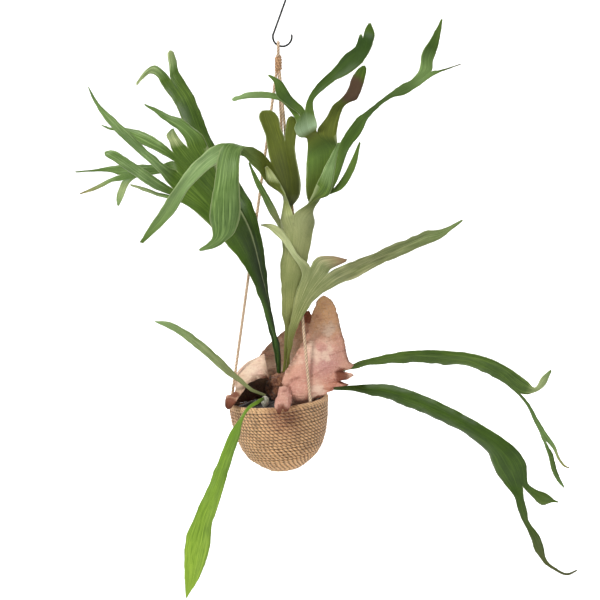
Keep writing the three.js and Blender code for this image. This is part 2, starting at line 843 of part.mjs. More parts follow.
// The same outline, moved inward.
function inside(distance) {
  return OUTSIDE.map(([radius, height], i) => {
    const before = OUTSIDE[Math.max(i - 1, 0)];
    const after = OUTSIDE[Math.min(i + 1, OUTSIDE.length - 1)];
    const along = new THREE.Vector2(after[0] - before[0], after[1] - before[1]).normalize();
    return [Math.max(radius - along.y * distance, 0), height + along.x * distance];
  });
}

function basketGeometry() {
  const wall = inside(ROPE_DIAMETER);
  wall[wall.length - 1][1] = OUTSIDE[OUTSIDE.length - 1][1];
  return lathe([...OUTSIDE, ...wall.reverse()], 40);
}

function rimGeometry() {
  const half = ROPE_DIAMETER / 2;
  const profile = [];
  for (let side = 0; side <= 8; side += 1) {
    const turn = (2 * Math.PI * (side % 8)) / 8 + Math.PI / 8;
    profile.push([RIM_RADIUS - half + half * Math.cos(turn), -half + half * Math.sin(turn)]);
  }
  return lathe(profile, 40);
}

// Moss and bark: it fills the basket and rises to a low dome inside the rim.
function rootBallGeometry(grown = 0) {
  const sides = inside(ROPE_DIAMETER + GAP - grown).slice(0, -1);
  const edge = sides[sides.length - 1][0];
  const dome = [[edge - 3, -11 + grown], [50, -8 + grown], [28, -4 + grown], [0, -2 + grown]];
  return lathe([...sides, ...dome], 32);
}

function ellipsoid([x, y, z], [width, depth, height], grown = 0) {
  const ball = new THREE.SphereGeometry(1, 20, 14).rotateX(Math.PI / 2);
  ball.scale(width + grown, depth + grown, height + grown);
  return ball.translate(x, y, z);
}

const RHIZOME = [[10, 2, -602], [30, 20, 24]];
const PUP = [[-20, -31, -617], [6, 6, 9]];

const soil = rootBallGeometry(GAP).applyMatrix4(basket.matrix);
const rhizome = ellipsoid(...RHIZOME, 1.3 * GAP);
const pup = ellipsoid(...PUP, 1.5 * GAP);

// ---- the fern's and basket's pieces ---------------------------------------

const fern = new THREE.Group();
fern.add(mesh('s_hook', hookGeometry(), STEEL));
fern.add(mesh('cord_loop', loopGeometry(), CORD_JUTE));
fern.add(mesh('cord_knot', knotGeometry(), CORD_JUTE));
for (const [side, degrees] of Object.entries(CORD_ANGLES)) {
  fern.add(mesh(`cord_${side}`, cordGeometry(degrees), CORD_JUTE));
}

basket.add(mesh('basket', basketGeometry(), BASKET_JUTE));
basket.add(mesh('basket_rim', rimGeometry(), BASKET_JUTE));
basket.add(mesh('root_ball', rootBallGeometry(), MOSS));
fern.add(basket);

fern.add(mesh('rhizome', cut(ellipsoid(...RHIZOME), soil), RHIZOME_FUR));
fern.add(mesh('pup', cut(ellipsoid(...PUP), soil), BUD_WHITE));

const FRONDS = [
  ['frond_rear_left', FROND_REAR_LEFT, DARK_GREEN],
  ['frond_left', FROND_LEFT, GREEN],
  ['frond_center', FROND_CENTER, OLIVE],
  ['frond_lower_right', FROND_LOWER_RIGHT, OLIVE],
  ['frond_right_upper', FROND_RIGHT_UPPER, DARK_GREEN],
  ['frond_right_lower', FROND_RIGHT_LOWER, DARK_GREEN],
];
for (const [name, shape, look] of FRONDS) {
  fern.add(mesh(name, cut(bladeGeometry(shape, FROND_THICKNESS), rhizome), look));
}
const YOUNG_FRONDS = [
  ['frond_young_up', FROND_YOUNG_UP],
  ['frond_young_down', FROND_YOUNG_DOWN],
];
for (const [name, shape] of YOUNG_FRONDS) {
  fern.add(mesh(name, cut(bladeGeometry(shape, FROND_THICKNESS), pup), YOUNG_GREEN));
}
const SHIELDS = [
  ['shield_frond_right', SHIELD_FROND_RIGHT],
  ['shield_frond_front', SHIELD_FROND_FRONT],
  ['shield_frond_left', SHIELD_FROND_LEFT],
  ['shield_frond_back', SHIELD_FROND_BACK],
];
for (const [name, shape] of SHIELDS) {
  fern.add(mesh(name, cut(bladeGeometry(shape, SHIELD_THICKNESS), soil, rhizome), SHIELD_BROWN));
}

export default fern;
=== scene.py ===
"""A staghorn fern (Platycerium) in a coiled jute basket, hung on three jute cords from an S-hook."""
import math

import bpy
import numpy as np
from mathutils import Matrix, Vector, noise


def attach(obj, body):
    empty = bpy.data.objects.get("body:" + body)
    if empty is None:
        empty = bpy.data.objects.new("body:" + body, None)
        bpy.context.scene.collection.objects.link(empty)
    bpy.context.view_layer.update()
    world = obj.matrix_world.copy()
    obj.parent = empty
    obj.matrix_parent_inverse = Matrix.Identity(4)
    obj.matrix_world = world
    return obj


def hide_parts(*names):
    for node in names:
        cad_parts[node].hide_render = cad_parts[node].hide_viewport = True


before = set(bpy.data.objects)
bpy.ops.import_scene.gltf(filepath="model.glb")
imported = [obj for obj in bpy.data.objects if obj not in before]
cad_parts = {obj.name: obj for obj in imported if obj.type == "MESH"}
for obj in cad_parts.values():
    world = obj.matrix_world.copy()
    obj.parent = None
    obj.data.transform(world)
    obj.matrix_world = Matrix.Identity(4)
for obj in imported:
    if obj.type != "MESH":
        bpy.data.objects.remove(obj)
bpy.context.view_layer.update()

MM = 0.001

# ---- camera ----------------------------------------------------------------
AIM = Vector((0.032, 0, -0.468))
CAMERA_DISTANCE = 3.0
CAMERA_RISE = math.radians(8)

camera_data = bpy.data.cameras.new("camera")
camera_data.lens = 120
camera_data.sensor_width = 36
camera = bpy.data.objects.new("camera", camera_data)
bpy.context.scene.collection.objects.link(camera)
back = Vector((0, -math.cos(CAMERA_RISE), math.sin(CAMERA_RISE)))
camera.location = AIM + back * CAMERA_DISTANCE
camera.rotation_euler = back.to_track_quat("Z", "Y").to_euler()
bpy.context.scene.camera = camera

# ---- sizes, in mm, as the CAD part has them ----------------------------------
HOOK_WIRE = 3
HOOK_BEND_RADIUS = 14
HOOK_BEND_SPACING = 64
HOOK_LEAN = 6
CORD_DIAMETER = 4.5
KNOT_TOP = -104
KNOT_BOTTOM = -128
KNOT_RADIUS = 5.2
RIM_CENTRE = np.array([-1, 0, -617.5])
BASKET_TILT = math.radians(-4.7)
RIM_RADIUS = 75.7
BASKET_DEPTH = 109
ROPE_DIAMETER = 6.5  # the rim's rope
CORD_ANGLES = {"right": -48, "back": 72, "left": 192}
# the basket's outside, as radius and height, from its floor up to the rim
OUTSIDE = [(0, -BASKET_DEPTH), (22, -BASKET_DEPTH), (36, -101), (52.5, -88), (62, -73), (69, -54),
           (73, -33), (74.8, -14), (75.7, -6.8)]

# the ropes' details that only the looks have, in mm
COIL_ROPE = 5.2  # the coiled rope below the rim
COIL_START = 2  # how far from the floor's centre the coil begins
COIL_ANGLE = 1.2  # where it begins, in radians
COIL_STEP = 2.1  # about how far apart its points are
COIL_SIDES = 12
WINDING = 4.2  # the cord wound round the knot


# ---- meshes ------------------------------------------------------------------
def linear(red, green, blue):
    """A colour given as it looks, 0 to 255, as light."""
    return tuple((c / 255 / 12.92) if c < 10.3 else ((c / 255 + 0.055) / 1.055) ** 2.4
                 for c in (red, green, blue))


def unit(v):
    """The same directions, one unit long."""
    return v / np.maximum(np.linalg.norm(v, axis=-1, keepdims=True), 1e-12)


def tilted(points):
    """Points about the basket's rim centre, tilted as the basket hangs."""
    c, s = math.cos(BASKET_TILT), math.sin(BASKET_TILT)
    turn = np.array([[c, 0, s], [0, 1, 0], [-s, 0, c]])
    return np.asarray(points, float) @ turn.T + RIM_CENTRE


def make_piece(name, points, faces, material, facts=()):
    """A smooth-shaded mesh from points in mm. facts holds a value per point by name."""
    mesh = bpy.data.meshes.new(name)
    mesh.from_pydata((np.asarray(points) * MM).tolist(), [], faces)
    for fact, values in dict(facts).items():
        values = np.asarray(values, np.float32)
        kind = "FLOAT" if values.ndim == 1 else "FLOAT_VECTOR"
        layer = mesh.attributes.new(fact, kind, "POINT")
        layer.data.foreach_set("value" if values.ndim == 1 else "vector", values.ravel())
    mesh.polygons.foreach_set("use_smooth", [True] * len(mesh.polygons))
    mesh.materials.append(material)
    mesh.update()
    piece = bpy.data.objects.new(name, mesh)
    bpy.context.scene.collection.objects.link(piece)
    return piece


def add_piece(name, node, points, faces, material, facts=()):
    """A piece that stands for one CAD node."""
    piece = make_piece(name, points, faces, material, facts)
    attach(piece, "root")
    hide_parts(node)
    return piece


def wobble(points, scale, seed):
    """Smooth noise from -1 to 1 at each point, with features about scale mm across."""
    return np.array([noise.noise(Vector(p / scale) + Vector((seed, 7.3, 1.9))) for p in points])


def frames_along(path):
    """Two directions square to the path at each of its points, with no twist between them."""
    tangent = unit(np.gradient(path, axis=0))
    side = np.zeros_like(path)
    start = np.array([0, 1, 0]) if abs(tangent[0][1]) < 0.9 else np.array([1, 0, 0])
    side[0] = unit(np.cross(tangent[0], start))
    for i in range(1, len(path)):
        side[i] = side[i - 1] - tangent[i] * side[i - 1].dot(tangent[i])
        side[i] /= np.linalg.norm(side[i])
    return side, np.cross(tangent, side)


def resampled(path, step):
    """The same line through a smooth curve, with its points about step mm apart."""
    path = np.asarray(path, float)
    gaps = np.linalg.norm(np.diff(path, axis=0), axis=1)
    at = np.concatenate([[0], np.cumsum(gaps)])
    count = max(2, int(round(at[-1] / step)) + 1)
    want = np.linspace(0, at[-1], count)
    return np.stack([np.interp(want, at, path[:, k]) for k in range(3)], axis=1)


def twisted_rope(path, diameter, strands, pitch, sides, groove, fade=0):
    """A rope of strands laid round one another along the path, with closed ends
    that thin out over the last fade mm.
    Gives points, faces and facts: along and around in mm, and how deep in a groove, which the jute
    material turns into painted shade in the grooves and a painted highlight on the crowns."""
    side, up = frames_along(path)
    gaps = np.linalg.norm(np.diff(path, axis=0), axis=1)
    along = np.concatenate([[0], np.cumsum(gaps)])
    turns = np.linspace(0, 2 * math.pi, sides, endpoint=False)
    points, facts = [], {"along": [], "around": [], "deep": []}
    for i, centre in enumerate(path):
        lay = turns - 2 * math.pi * along[i] / pitch
        deep = 1 - np.abs(np.cos(lay * strands / 2))
        radius = diameter / 2 * (1 - groove * deep ** 2)
        if fade:
            edge = min(along[i], along[-1] - along[i])
            radius = radius * (0.55 + 0.45 * min(1, edge / fade) ** 0.5)
        ring = centre + radius[:, None] * (np.cos(turns)[:, None] * side[i]
                                           + np.sin(turns)[:, None] * up[i])
        points.append(ring)
        facts["along"] += [along[i]] * sides
        facts["around"] += (lay * diameter / 2).tolist()
        facts["deep"] += deep.tolist()
    points = np.vstack(points)
    faces = []
    for i in range(len(path) - 1):
        for j in range(sides):
            k = (j + 1) % sides
            a, b = i * sides, (i + 1) * sides
            faces.append((a + j, a + k, b + k, b + j))
    last = (len(path) - 1) * sides
    faces.append(tuple(range(sides))[::-1])
    faces.append(tuple(range(last, last + sides)))
    return points, faces, facts


def rope_facts(facts):
    """What a jute material reads from a rope: its grain, and its grooves for painted shade and highlight.
    """
    grain = np.stack([facts["along"], facts["around"], np.zeros(len(facts["along"]))], axis=1)
    return {"grain": grain, "deep": facts["deep"]}


def sway(line, scale, seeds):
    """A sideways push at each point of a line, with its own noise for each axis."""
    return np.stack([wobble(line, scale, seed) for seed in seeds], axis=1)


def merged(parts):
    """Several (points, faces, facts) as one."""
    points, faces, facts, first = [], [], {}, 0
    for more_points, more_faces, more_facts in parts:
        points.append(more_points)
        faces += [tuple(i + first for i in face) for face in more_faces]
        for key, values in more_facts.items():
            facts.setdefault(key, []).append(np.asarray(values))
        first += len(more_points)
    return np.vstack(points), faces, {key: np.concatenate(v) for key, v in facts.items()}


# ---- materials -----------------------------------------------------------------
class Shader:
    """One material's nodes. Every piece's material is built with this."""

    def __init__(self, name, roughness):
        self.material = bpy.data.materials.new(name)
        self.material.use_nodes = True
        self.nodes = self.material.node_tree.nodes
        self.links = self.material.node_tree.links
        self.surface = self.nodes["Principled BSDF"]
        self.constant("Roughness", roughness)

    def put(self, socket, value):
        if hasattr(value, "is_output"):
            self.links.new(value, socket)
        elif value is not None:
            socket.default_value = value

    def add(self, kind, *values, **settings):
        """A node of this kind, with its settings and the values of its first sockets."""
        node = self.nodes.new("ShaderNode" + kind)
        for setting, value in settings.items():
            setattr(node, setting, value)
        for socket, value in zip(node.inputs, values):
            self.put(socket, value)
        return node

    def constant(self, name, value):
        self.surface.inputs[name].default_value = value

    def fact(self, name):
        """A mesh fact with three values per point."""
        return self.add("Attribute", attribute_name=name).outputs["Vector"]

    def number(self, name):
        """A mesh fact with one value per point."""
        return self.add("Attribute", attribute_name=name).outputs["Fac"]

    def place(self):
        return self.add("TexCoord").outputs["Object"]

    def noise(self, where, scale, detail=3.0, stretch=None, rough=0.55):
        if stretch:
            where = self.add("VectorMath", where, stretch, operation="MULTIPLY").outputs[0]
        node = self.add("TexNoise", where)
        for name, value in (("Scale", scale), ("Detail", detail), ("Roughness", rough)):
            node.inputs[name].default_value = value
        return node.outputs["Fac"]

    def math(self, operation, a, b, clamp=False):
        return self.add("Math", a, b, operation=operation, use_clamp=clamp).outputs[0]

    def steps(self, value, low, high, to_low=0.0, to_high=1.0):
        """value from low to high becomes to_low to to_high, smoothly."""
        return self.add("MapRange", value, low, high, to_low, to_high,
                        interpolation_type="SMOOTHSTEP").outputs[0]

    def mix(self, share, a, b, how="MIX"):
        node = self.add("Mix", share, data_type="RGBA", blend_type=how)
        for socket, colour in ((node.inputs[6], a), (node.inputs[7], b)):
            self.put(socket, colour if hasattr(colour, "is_output") else (*colour, 1))
        return node.outputs[2]

    def near(self, centre, reach):
        """1 at a point of the row frame, in mm, falling to 0 at reach."""
        centre = [c * MM for c in centre]
        gap = self.add("VectorMath", self.place(), centre, operation="DISTANCE").outputs["Value"]
        return self.steps(gap, 0, reach * MM, 1, 0)

    def line(self, start, end, reach):
        """1 on the line between two points, in mm, seen from the front, falling to 0 at reach."""
        start, end = Vector(start) * MM, Vector(end) * MM
        start.y = end.y = 0

        def vector(operation, *values):
            return self.add("VectorMath", *values, operation=operation)

        run = end - start
        flat = vector("MULTIPLY", self.place(), (1, 0, 1)).outputs[0]
        away = vector("SUBTRACT", flat, start).outputs[0]
        share = self.math("MULTIPLY", vector("DOT_PRODUCT", away, run).outputs["Value"],
                          1 / run.length_squared, clamp=True)
        scale = vector("SCALE", run)
        self.put(scale.inputs["Scale"], share)
        gap = vector("DISTANCE", away, scale.outputs[0]).outputs["Value"]
        return self.steps(gap, 0, reach * MM, 1, 0)

    def colour(self, value):
        self.put(self.surface.inputs["Base Color"], value)

    def bump(self, height, distance, strength=1.0, after=None):
        """Relief distance mm high, on top of the relief given as after."""
        node = self.add("Bump", strength)
        node.inputs["Distance"].default_value = distance * MM
        self.put(node.inputs["Height"], height)
        self.put(node.inputs["Normal"], after)
        self.put(self.surface.inputs["Normal"], node.outputs[0])
        return node.outputs[0]


def leaf_material(name, stripes=0.5, shine=0.42, mottle=0.45, felt=0.3, scorch=None):
    """A leathery leaf: veins along it, soft mottling, a paler felted underside, and pale margins that are
    partly a painted highlight.
    """
    s = Shader(name, shine)
    s.constant("Specular IOR Level", 0.28)
    tint, grain, place = s.fact("tint"), s.fact("grain"), s.place()
    broad = s.noise(place, 20, 3)
    fine = s.noise(place, 180, 4)
    vein = s.noise(grain, 1.0, 2.5, (1.0, 0.012, 1.0))
    hair = s.noise(grain, 1.0, 2.0, (3.4, 0.03, 1.0))
    colour = s.mix(s.steps(broad, 0.36, 0.68, 0, mottle), tint, (0.3, 0.4, 0.22), "MULTIPLY")
    colour = s.mix(s.steps(vein, 0.5, 0.62, 0, stripes), colour, (2.1, 1.85, 2.3), "MULTIPLY")
    colour = s.mix(s.steps(hair, 0.48, 0.6, 0, 0.8), colour, (0.5, 0.58, 0.4), "MULTIPLY")
    colour = s.mix(s.steps(fine, 0.58, 0.75, 0, 0.12), colour, (1.8, 1.8, 1.6), "MULTIPLY")
    pale = s.mix(s.steps(fine, 0.4, 0.7, 0.8, 1), tint, (1.35, 1.3, 1.5), "MULTIPLY")
    colour = s.mix(s.math("MULTIPLY", s.number("under"), felt), colour, pale)
    # pale margins: partly the edge's own paler colour, partly a painted highlight along every edge
    rim = s.math("MULTIPLY", s.steps(s.number("edge"), 0.6, 1), 0.5)
    colour = s.mix(rim, colour, linear(186, 196, 146))
    if scorch:
        spread = s.math("ADD", s.math("MULTIPLY", broad, 0.5), s.math("MULTIPLY", hair, 0.35))
        patch = s.steps(s.math("ADD", s.near(*scorch), spread), 0.62, 1.15)
        colour = s.mix(s.math("MULTIPLY", patch, 0.9), colour, linear(84, 58, 46))
    s.colour(s.mix(s.number("dead"), colour, linear(74, 44, 38)))
    first = s.bump(s.math("ADD", vein, s.math("MULTIPLY", hair, 0.5)), 0.5, 0.5)
    s.bump(fine, 0.2, 0.3, first)
    return s.material


# patches of colour on the shields, as centre, reach and colour
SHIELD_TINTS = [
    ((74, 0, -478), 62, (240, 186, 138)), ((64, -26, -552), 48, (196, 140, 138)),
    ((-42, -16, -566), 34, (232, 210, 186)), ((84, -30, -596), 34, (214, 140, 108)),
    ((-14, 20, -540), 46, (228, 190, 164)),
]
# scorched places on the shields, as centre and reach
SHIELD_SCORCHES = [
    ((92, -24, -580), 22), ((60, -36, -612), 16), ((6, -84, -618), 20), ((-72, -60, -614), 20),
    ((-14, -20, -594), 22), ((42, 38, -500), 20), ((-66, -46, -606), 15),
]
# folds and cracks on the shields, drawn as dark lines of painted shade, as start, end and half-width
SHIELD_CREASE_SHADES = [
    ((8, -44, -595), (20, -42, -582), 4), ((20, -42, -582), (34, -40, -576), 4),
    ((17, -60, -592), (17, -72, -610), 4), ((78, -24, -572), (104, -22, -568), 3),
    ((84, -24, -584), (104, -24, -582), 3), ((80, -26, -598), (100, -28, -597), 3),
    ((70, -14, -528), (98, -8, -521), 2), ((76, -20, -547), (100, -14, -542), 2),
    ((50, -26, -576), (70, -22, -566), 2.5), ((-25, -20, -575), (-2, -24, -598), 6),
]
# darker brown patches on the basket, as centre and reach
BASKET_DARK_PATCHES = [((14, -78, -640), 46), ((-72, -20, -640), 30), ((6, -70, -628), 40)]


def shield_material():
    """A papery brown shield frond: net veins, blotches, scorched edges, and painted shade along its
    creases and toward the hollow over the root ball.
    """
    s = Shader("shield_frond_papery", 0.72)
    s.constant("Specular IOR Level", 0.25)
    place, grain = s.place(), s.fact("grain")
    broad = s.noise(place, 30, 4)
    blotch = s.noise(place, 75, 5, rough=0.65)
    veins = s.noise(place, 1.0, 5, (90, 90, 420), 0.6)
    ribs = s.noise(grain, 1.0, 4, (0.5, 0.06, 1.0), 0.7)
    fine = s.noise(place, 420, 4)
    colour = s.fact("tint")
    for centre, reach, shade in SHIELD_TINTS:
        part = s.math("MULTIPLY", s.near(centre, reach), s.steps(broad, 0.25, 0.6, 0.5, 1))
        colour = s.mix(part, colour, linear(*shade))
    colour = s.mix(s.steps(broad, 0.48, 0.64, 0, 0.35), colour, linear(198, 132, 124))
    colour = s.mix(s.steps(broad, 0.34, 0.48, 0.7, 0), colour, linear(246, 216, 192))
    colour = s.mix(s.steps(veins, 0.52, 0.7, 0, 0.4), colour, linear(176, 112, 92))
    colour = s.mix(s.steps(ribs, 0.52, 0.72, 0, 0.3), colour, linear(170, 108, 94))
    colour = s.mix(s.steps(blotch, 0.6, 0.72, 0, 0.45), colour, linear(160, 90, 58))
    colour = s.mix(s.steps(fine, 0.48, 0.7, 0, 0.35), colour, linear(246, 216, 190))
    # painted shade: the shields' back faces turn dark brown toward the hollow over the root ball
    hollow_shade = s.math("MULTIPLY", s.number("under"), s.near((-36, 0, -604), 75))
    colour = s.mix(s.steps(hollow_shade, 0.1, 0.45, 0, 0.85), colour, linear(64, 32, 20))
    for centre, reach in SHIELD_SCORCHES:
        scorch = s.steps(s.math("ADD", s.near(centre, reach), blotch), 0.72, 1.1)
        colour = s.mix(s.math("MULTIPLY", scorch, 0.85), colour, linear(112, 52, 26))
    # painted shade: a dark line along each fold and crack
    for start, end, reach in SHIELD_CREASE_SHADES:
        crease_shade = s.math("MULTIPLY", s.line(start, end, reach), s.steps(blotch, 0.4, 0.6, 0.1, 1))
        colour = s.mix(s.math("MULTIPLY", crease_shade, 0.6), colour, linear(128, 66, 48))
    edge = s.math("MULTIPLY", s.number("edge"), s.steps(blotch, 0.4, 0.6, 0.1, 1))
    colour = s.mix(s.math("MULTIPLY", edge, 0.85), colour, linear(92, 46, 28))
    s.colour(s.mix(s.number("dead"), colour, linear(58, 26, 20)))
    first = s.bump(s.math("ADD", veins, ribs), 2.4, 0.9)
    s.bump(s.math("ADD", fine, blotch), 1.0, 0.7, first)
    return s.material


def jute_material(name, light, base, dark, with_dark_patches=False):
    """Twisted jute: fibres along the strands, painted shade in the grooves and a painted highlight on the
    strands' crowns, loose pale hairs.
    """
    s = Shader(name, 0.88)
    place = s.place()
    lay = s.fact("grain")
    fibres = s.noise(lay, 1.0, 3, (0.35, 3.2, 1.0))
    tone = s.noise(place, 70, 3)
    loose = s.noise(place, 650, 3)
    deep = s.number("deep")
    colour = s.mix(s.steps(fibres, 0.35, 0.65), linear(*base), linear(*light))
    # painted highlight: the strands' crowns, away from the grooves, turn light
    colour = s.mix(s.steps(deep, 0.1, 0.5, 0.45, 0), colour, linear(*light))
    colour = s.mix(s.steps(tone, 0.46, 0.66, 0, 0.26), colour, linear(*dark))
    # painted shade: the grooves turn dark
    colour = s.mix(s.steps(deep, 0.25, 0.85, 0, 0.9), colour, linear(*dark))
    colour = s.mix(s.steps(loose, 0.6, 0.72, 0, 0.5), colour, linear(*light))
    if with_dark_patches:
        for centre, reach in BASKET_DARK_PATCHES:
            dark_patch = s.math("MULTIPLY", s.near(centre, reach), s.steps(loose, 0.3, 0.6, 0.2, 1))
            colour = s.mix(s.math("MULTIPLY", dark_patch, 0.55), colour, linear(128, 62, 34))
    s.colour(colour)
    s.bump(fibres, 0.7, 0.8)
    s.constant("Sheen Weight", 0.25)
    s.constant("Sheen Roughness", 0.6)
    return s.material


def steel_material():
    """Dull grey wire with faint draw marks and a few worn spots."""
    s = Shader("hook_wire_steel", 0.55)
    s.constant("Metallic", 0.15)
    s.constant("Specular IOR Level", 0.3)
    place = s.place()
    worn = s.noise(place, 240, 4)
    s.colour(s.mix(s.steps(worn, 0.4, 0.7), linear(52, 52, 54), linear(30, 29, 28)))
    s.bump(worn, 0.08, 0.3)
    return s.material


def moss_material(name, dark, middle, light, scale):
    """Moss, bark crumbs or furry scales, by its three colours."""
    s = Shader(name, 0.95)
    place = s.place()
    clumps, crumbs = s.noise(place, scale, 4), s.noise(place, scale * 5, 5, rough=0.7)
    colour = s.mix(s.steps(clumps, 0.35, 0.65), linear(*dark), linear(*middle))
    s.colour(s.mix(s.steps(crumbs, 0.52, 0.72, 0, 0.8), colour, linear(*light)))
    s.bump(s.math("ADD", clumps, crumbs), 1.5, 0.9)
    s.constant("Sheen Weight", 0.3)
    return s.material


# ---- blades ----------------------------------------------------------------
# A blade is one leaf sheet that forks. A rib is (left edge, right edge, bow),
# in mm in the row frame: its two edges seen from the front with the tip up,
# and how far its middle bows to the front. A lobe is its name, its ribs from
# base to tip, and the lobes it forks into, from left to right.


def lobe(name, ribs, forks=()):
    """One lobe of a blade."""
    return {"name": name, "ribs": ribs, "forks": forks}


def rib_middle(rib):
    """The point halfway between a rib's edges."""
    return (np.array(rib[0], float) + np.array(rib[1], float)) / 2


def rib_row(rib, along, shares):
    """The points across one rib, at the given shares of its width."""
    left, right = np.array(rib[0], float), np.array(rib[1], float)
    front = unit(np.cross(right - left, along))
    s = shares[:, None]
    return left + (right - left) * s + front * (4 * rib[2] * s * (1 - s))


def lay_out(part, columns, before=None):
    """The rows of points that a lobe's ribs make, and its forks' rows.
    before is the middle of the rib that the lobe grows from."""
    ribs = part["ribs"]
    kids = [lay_out(fork, columns, rib_middle(ribs[-1])) for fork in part["forks"]]
    centres = [rib_middle(rib) for rib in ribs]
    if kids:
        fork_row = np.vstack([kid["rows"][0][min(i, 1):] for i, kid in enumerate(kids)])
        steps = np.linalg.norm(np.diff(fork_row, axis=0), axis=1)
        shares = np.concatenate([[0], np.cumsum(steps)]) / steps.sum()
        centres.append((fork_row[0] + fork_row[-1]) / 2)
    else:
        shares = np.linspace(0, 1, columns + 1)
    even = np.linspace(0, 1, len(shares))
    rows = []
    for i, rib in enumerate(ribs):
        start = centres[i - 1] if i else (centres[0] if before is None else before)
        end = centres[min(i + 1, len(centres) - 1)]
        spread = even + (shares - even) * i / len(ribs)
        rows.append(rib_row(rib, end - start, spread))
    if kids:
        rows.append(fork_row)
    return {"name": part["name"], "rows": rows, "kids": kids}


def between(a, b, c, d, t):
    """A cubic through b and c that heads from a and to d."""
    def length(v):
        return np.linalg.norm(v, axis=1, keepdims=True)

    span = length(c - b)
    leave = (c - a) * span / np.maximum(length(b - a) + span, 1e-9)
    arrive = (d - b) * span / np.maximum(span + length(d - c), 1e-9)
    t2, t3 = t * t, t * t * t
    return (b * (2 * t3 - 3 * t2 + 1) + leave * (t3 - 2 * t2 + t)
            + c * (3 * t2 - 2 * t3) + arrive * (t3 - t2))


def sheet_points(blade, columns, row_length):
    """The blade's middle surface: points, quads, and (column, distance along, lobe) per point."""
    points, quads, facts = [], [], []

    def add(row, first, travelled, name):
        ids = []
        for i, point in enumerate(row):
            ids.append(len(points))
            points.append(point)
            facts.append((first + i, travelled, name))
        return ids

    def grow(part, lower, row_before, first, travelled):
        rows, kids = part["rows"], part["kids"]
        slices, at = [], 0
        for kid in kids:
            slices.append((at, at + len(kid["rows"][0])))
            at += len(kid["rows"][0]) - 1
        row_after = None
        if kids:
            # where the forks' second rows meet at each notch
            total = np.zeros_like(rows[-1])
            count = np.zeros(len(rows[-1]))
            for kid, (lo, hi) in zip(kids, slices):
                total[lo:hi] += kid["rows"][1]
                count[lo:hi] += 1
            row_after = total / count[:, None]
        last = len(rows) - 1
        for r in range(last):
            before = rows[r - 1] if r else (rows[0] if row_before is None else row_before)
            after = rows[r + 2] if r + 2 <= last else (row_after if kids else rows[last])
            gap = np.linalg.norm((rows[r][0] + rows[r][-1] - rows[r + 1][0] - rows[r + 1][-1]) / 2)
            steps = max(1, math.ceil(gap / row_length))
            for s in range(1, steps + 1):
                row = between(before, rows[r], rows[r + 1], after, s / steps)
                travelled += gap / steps
                upper = add(row, first, travelled, part["name"])
                for i in range(len(upper) - 1):
                    quads.append((lower[i], lower[i + 1], upper[i + 1], upper[i]))
                lower = upper
        for kid, (lo, hi) in zip(kids, slices):
            grow(kid, lower[lo:hi], rows[-2][lo:hi], first + lo, travelled)

    layout = lay_out(blade, columns)
    grow(layout, add(layout["rows"][0], 0, 0, layout["name"]), None, 0, 0)
    return np.array(points), quads, facts


# ---- the fronds' shapes, in mm --------------------------------------------------
FROND_REAR_LEFT = lobe("stem", [
    ((-2, 8, -585), (2, 8, -585), 0), ((-8, 0, -542), (-2, 2, -543), 1),
    ((-19, -6, -496), (-10, -4, -496), 1.5), ((-36, -16, -418), (-19, -12, -412), 2.5),
    ((-57, -16, -352), (-35, -9, -334), 3), ((-85, 8, -305), (-61, 19, -289), 3),
    ((-126, 39, -250), (-99, 51, -236), 3), ((-156, 74, -181), (-131, 89, -164), 3),
], [
    lobe("left finger", [
        ((-179, 89, -149), (-165, 96, -142), 0), ((-185, 91, -138), (-176, 97, -128), 1),
        ((-195, 86, -133), (-189, 92, -120), 0), ((-204, 76, -139), (-203, 82, -128), 0),
        ((-215, 67, -151), (-216, 68, -146), 0),
    ]),
    lobe("right finger", [
        ((-165, 96, -142), (-153, 103, -130), 0), ((-168, 102, -122), (-157, 110, -114), 1),
        ((-172, 106, -99), (-161, 111, -97), 1),
    ]),
])

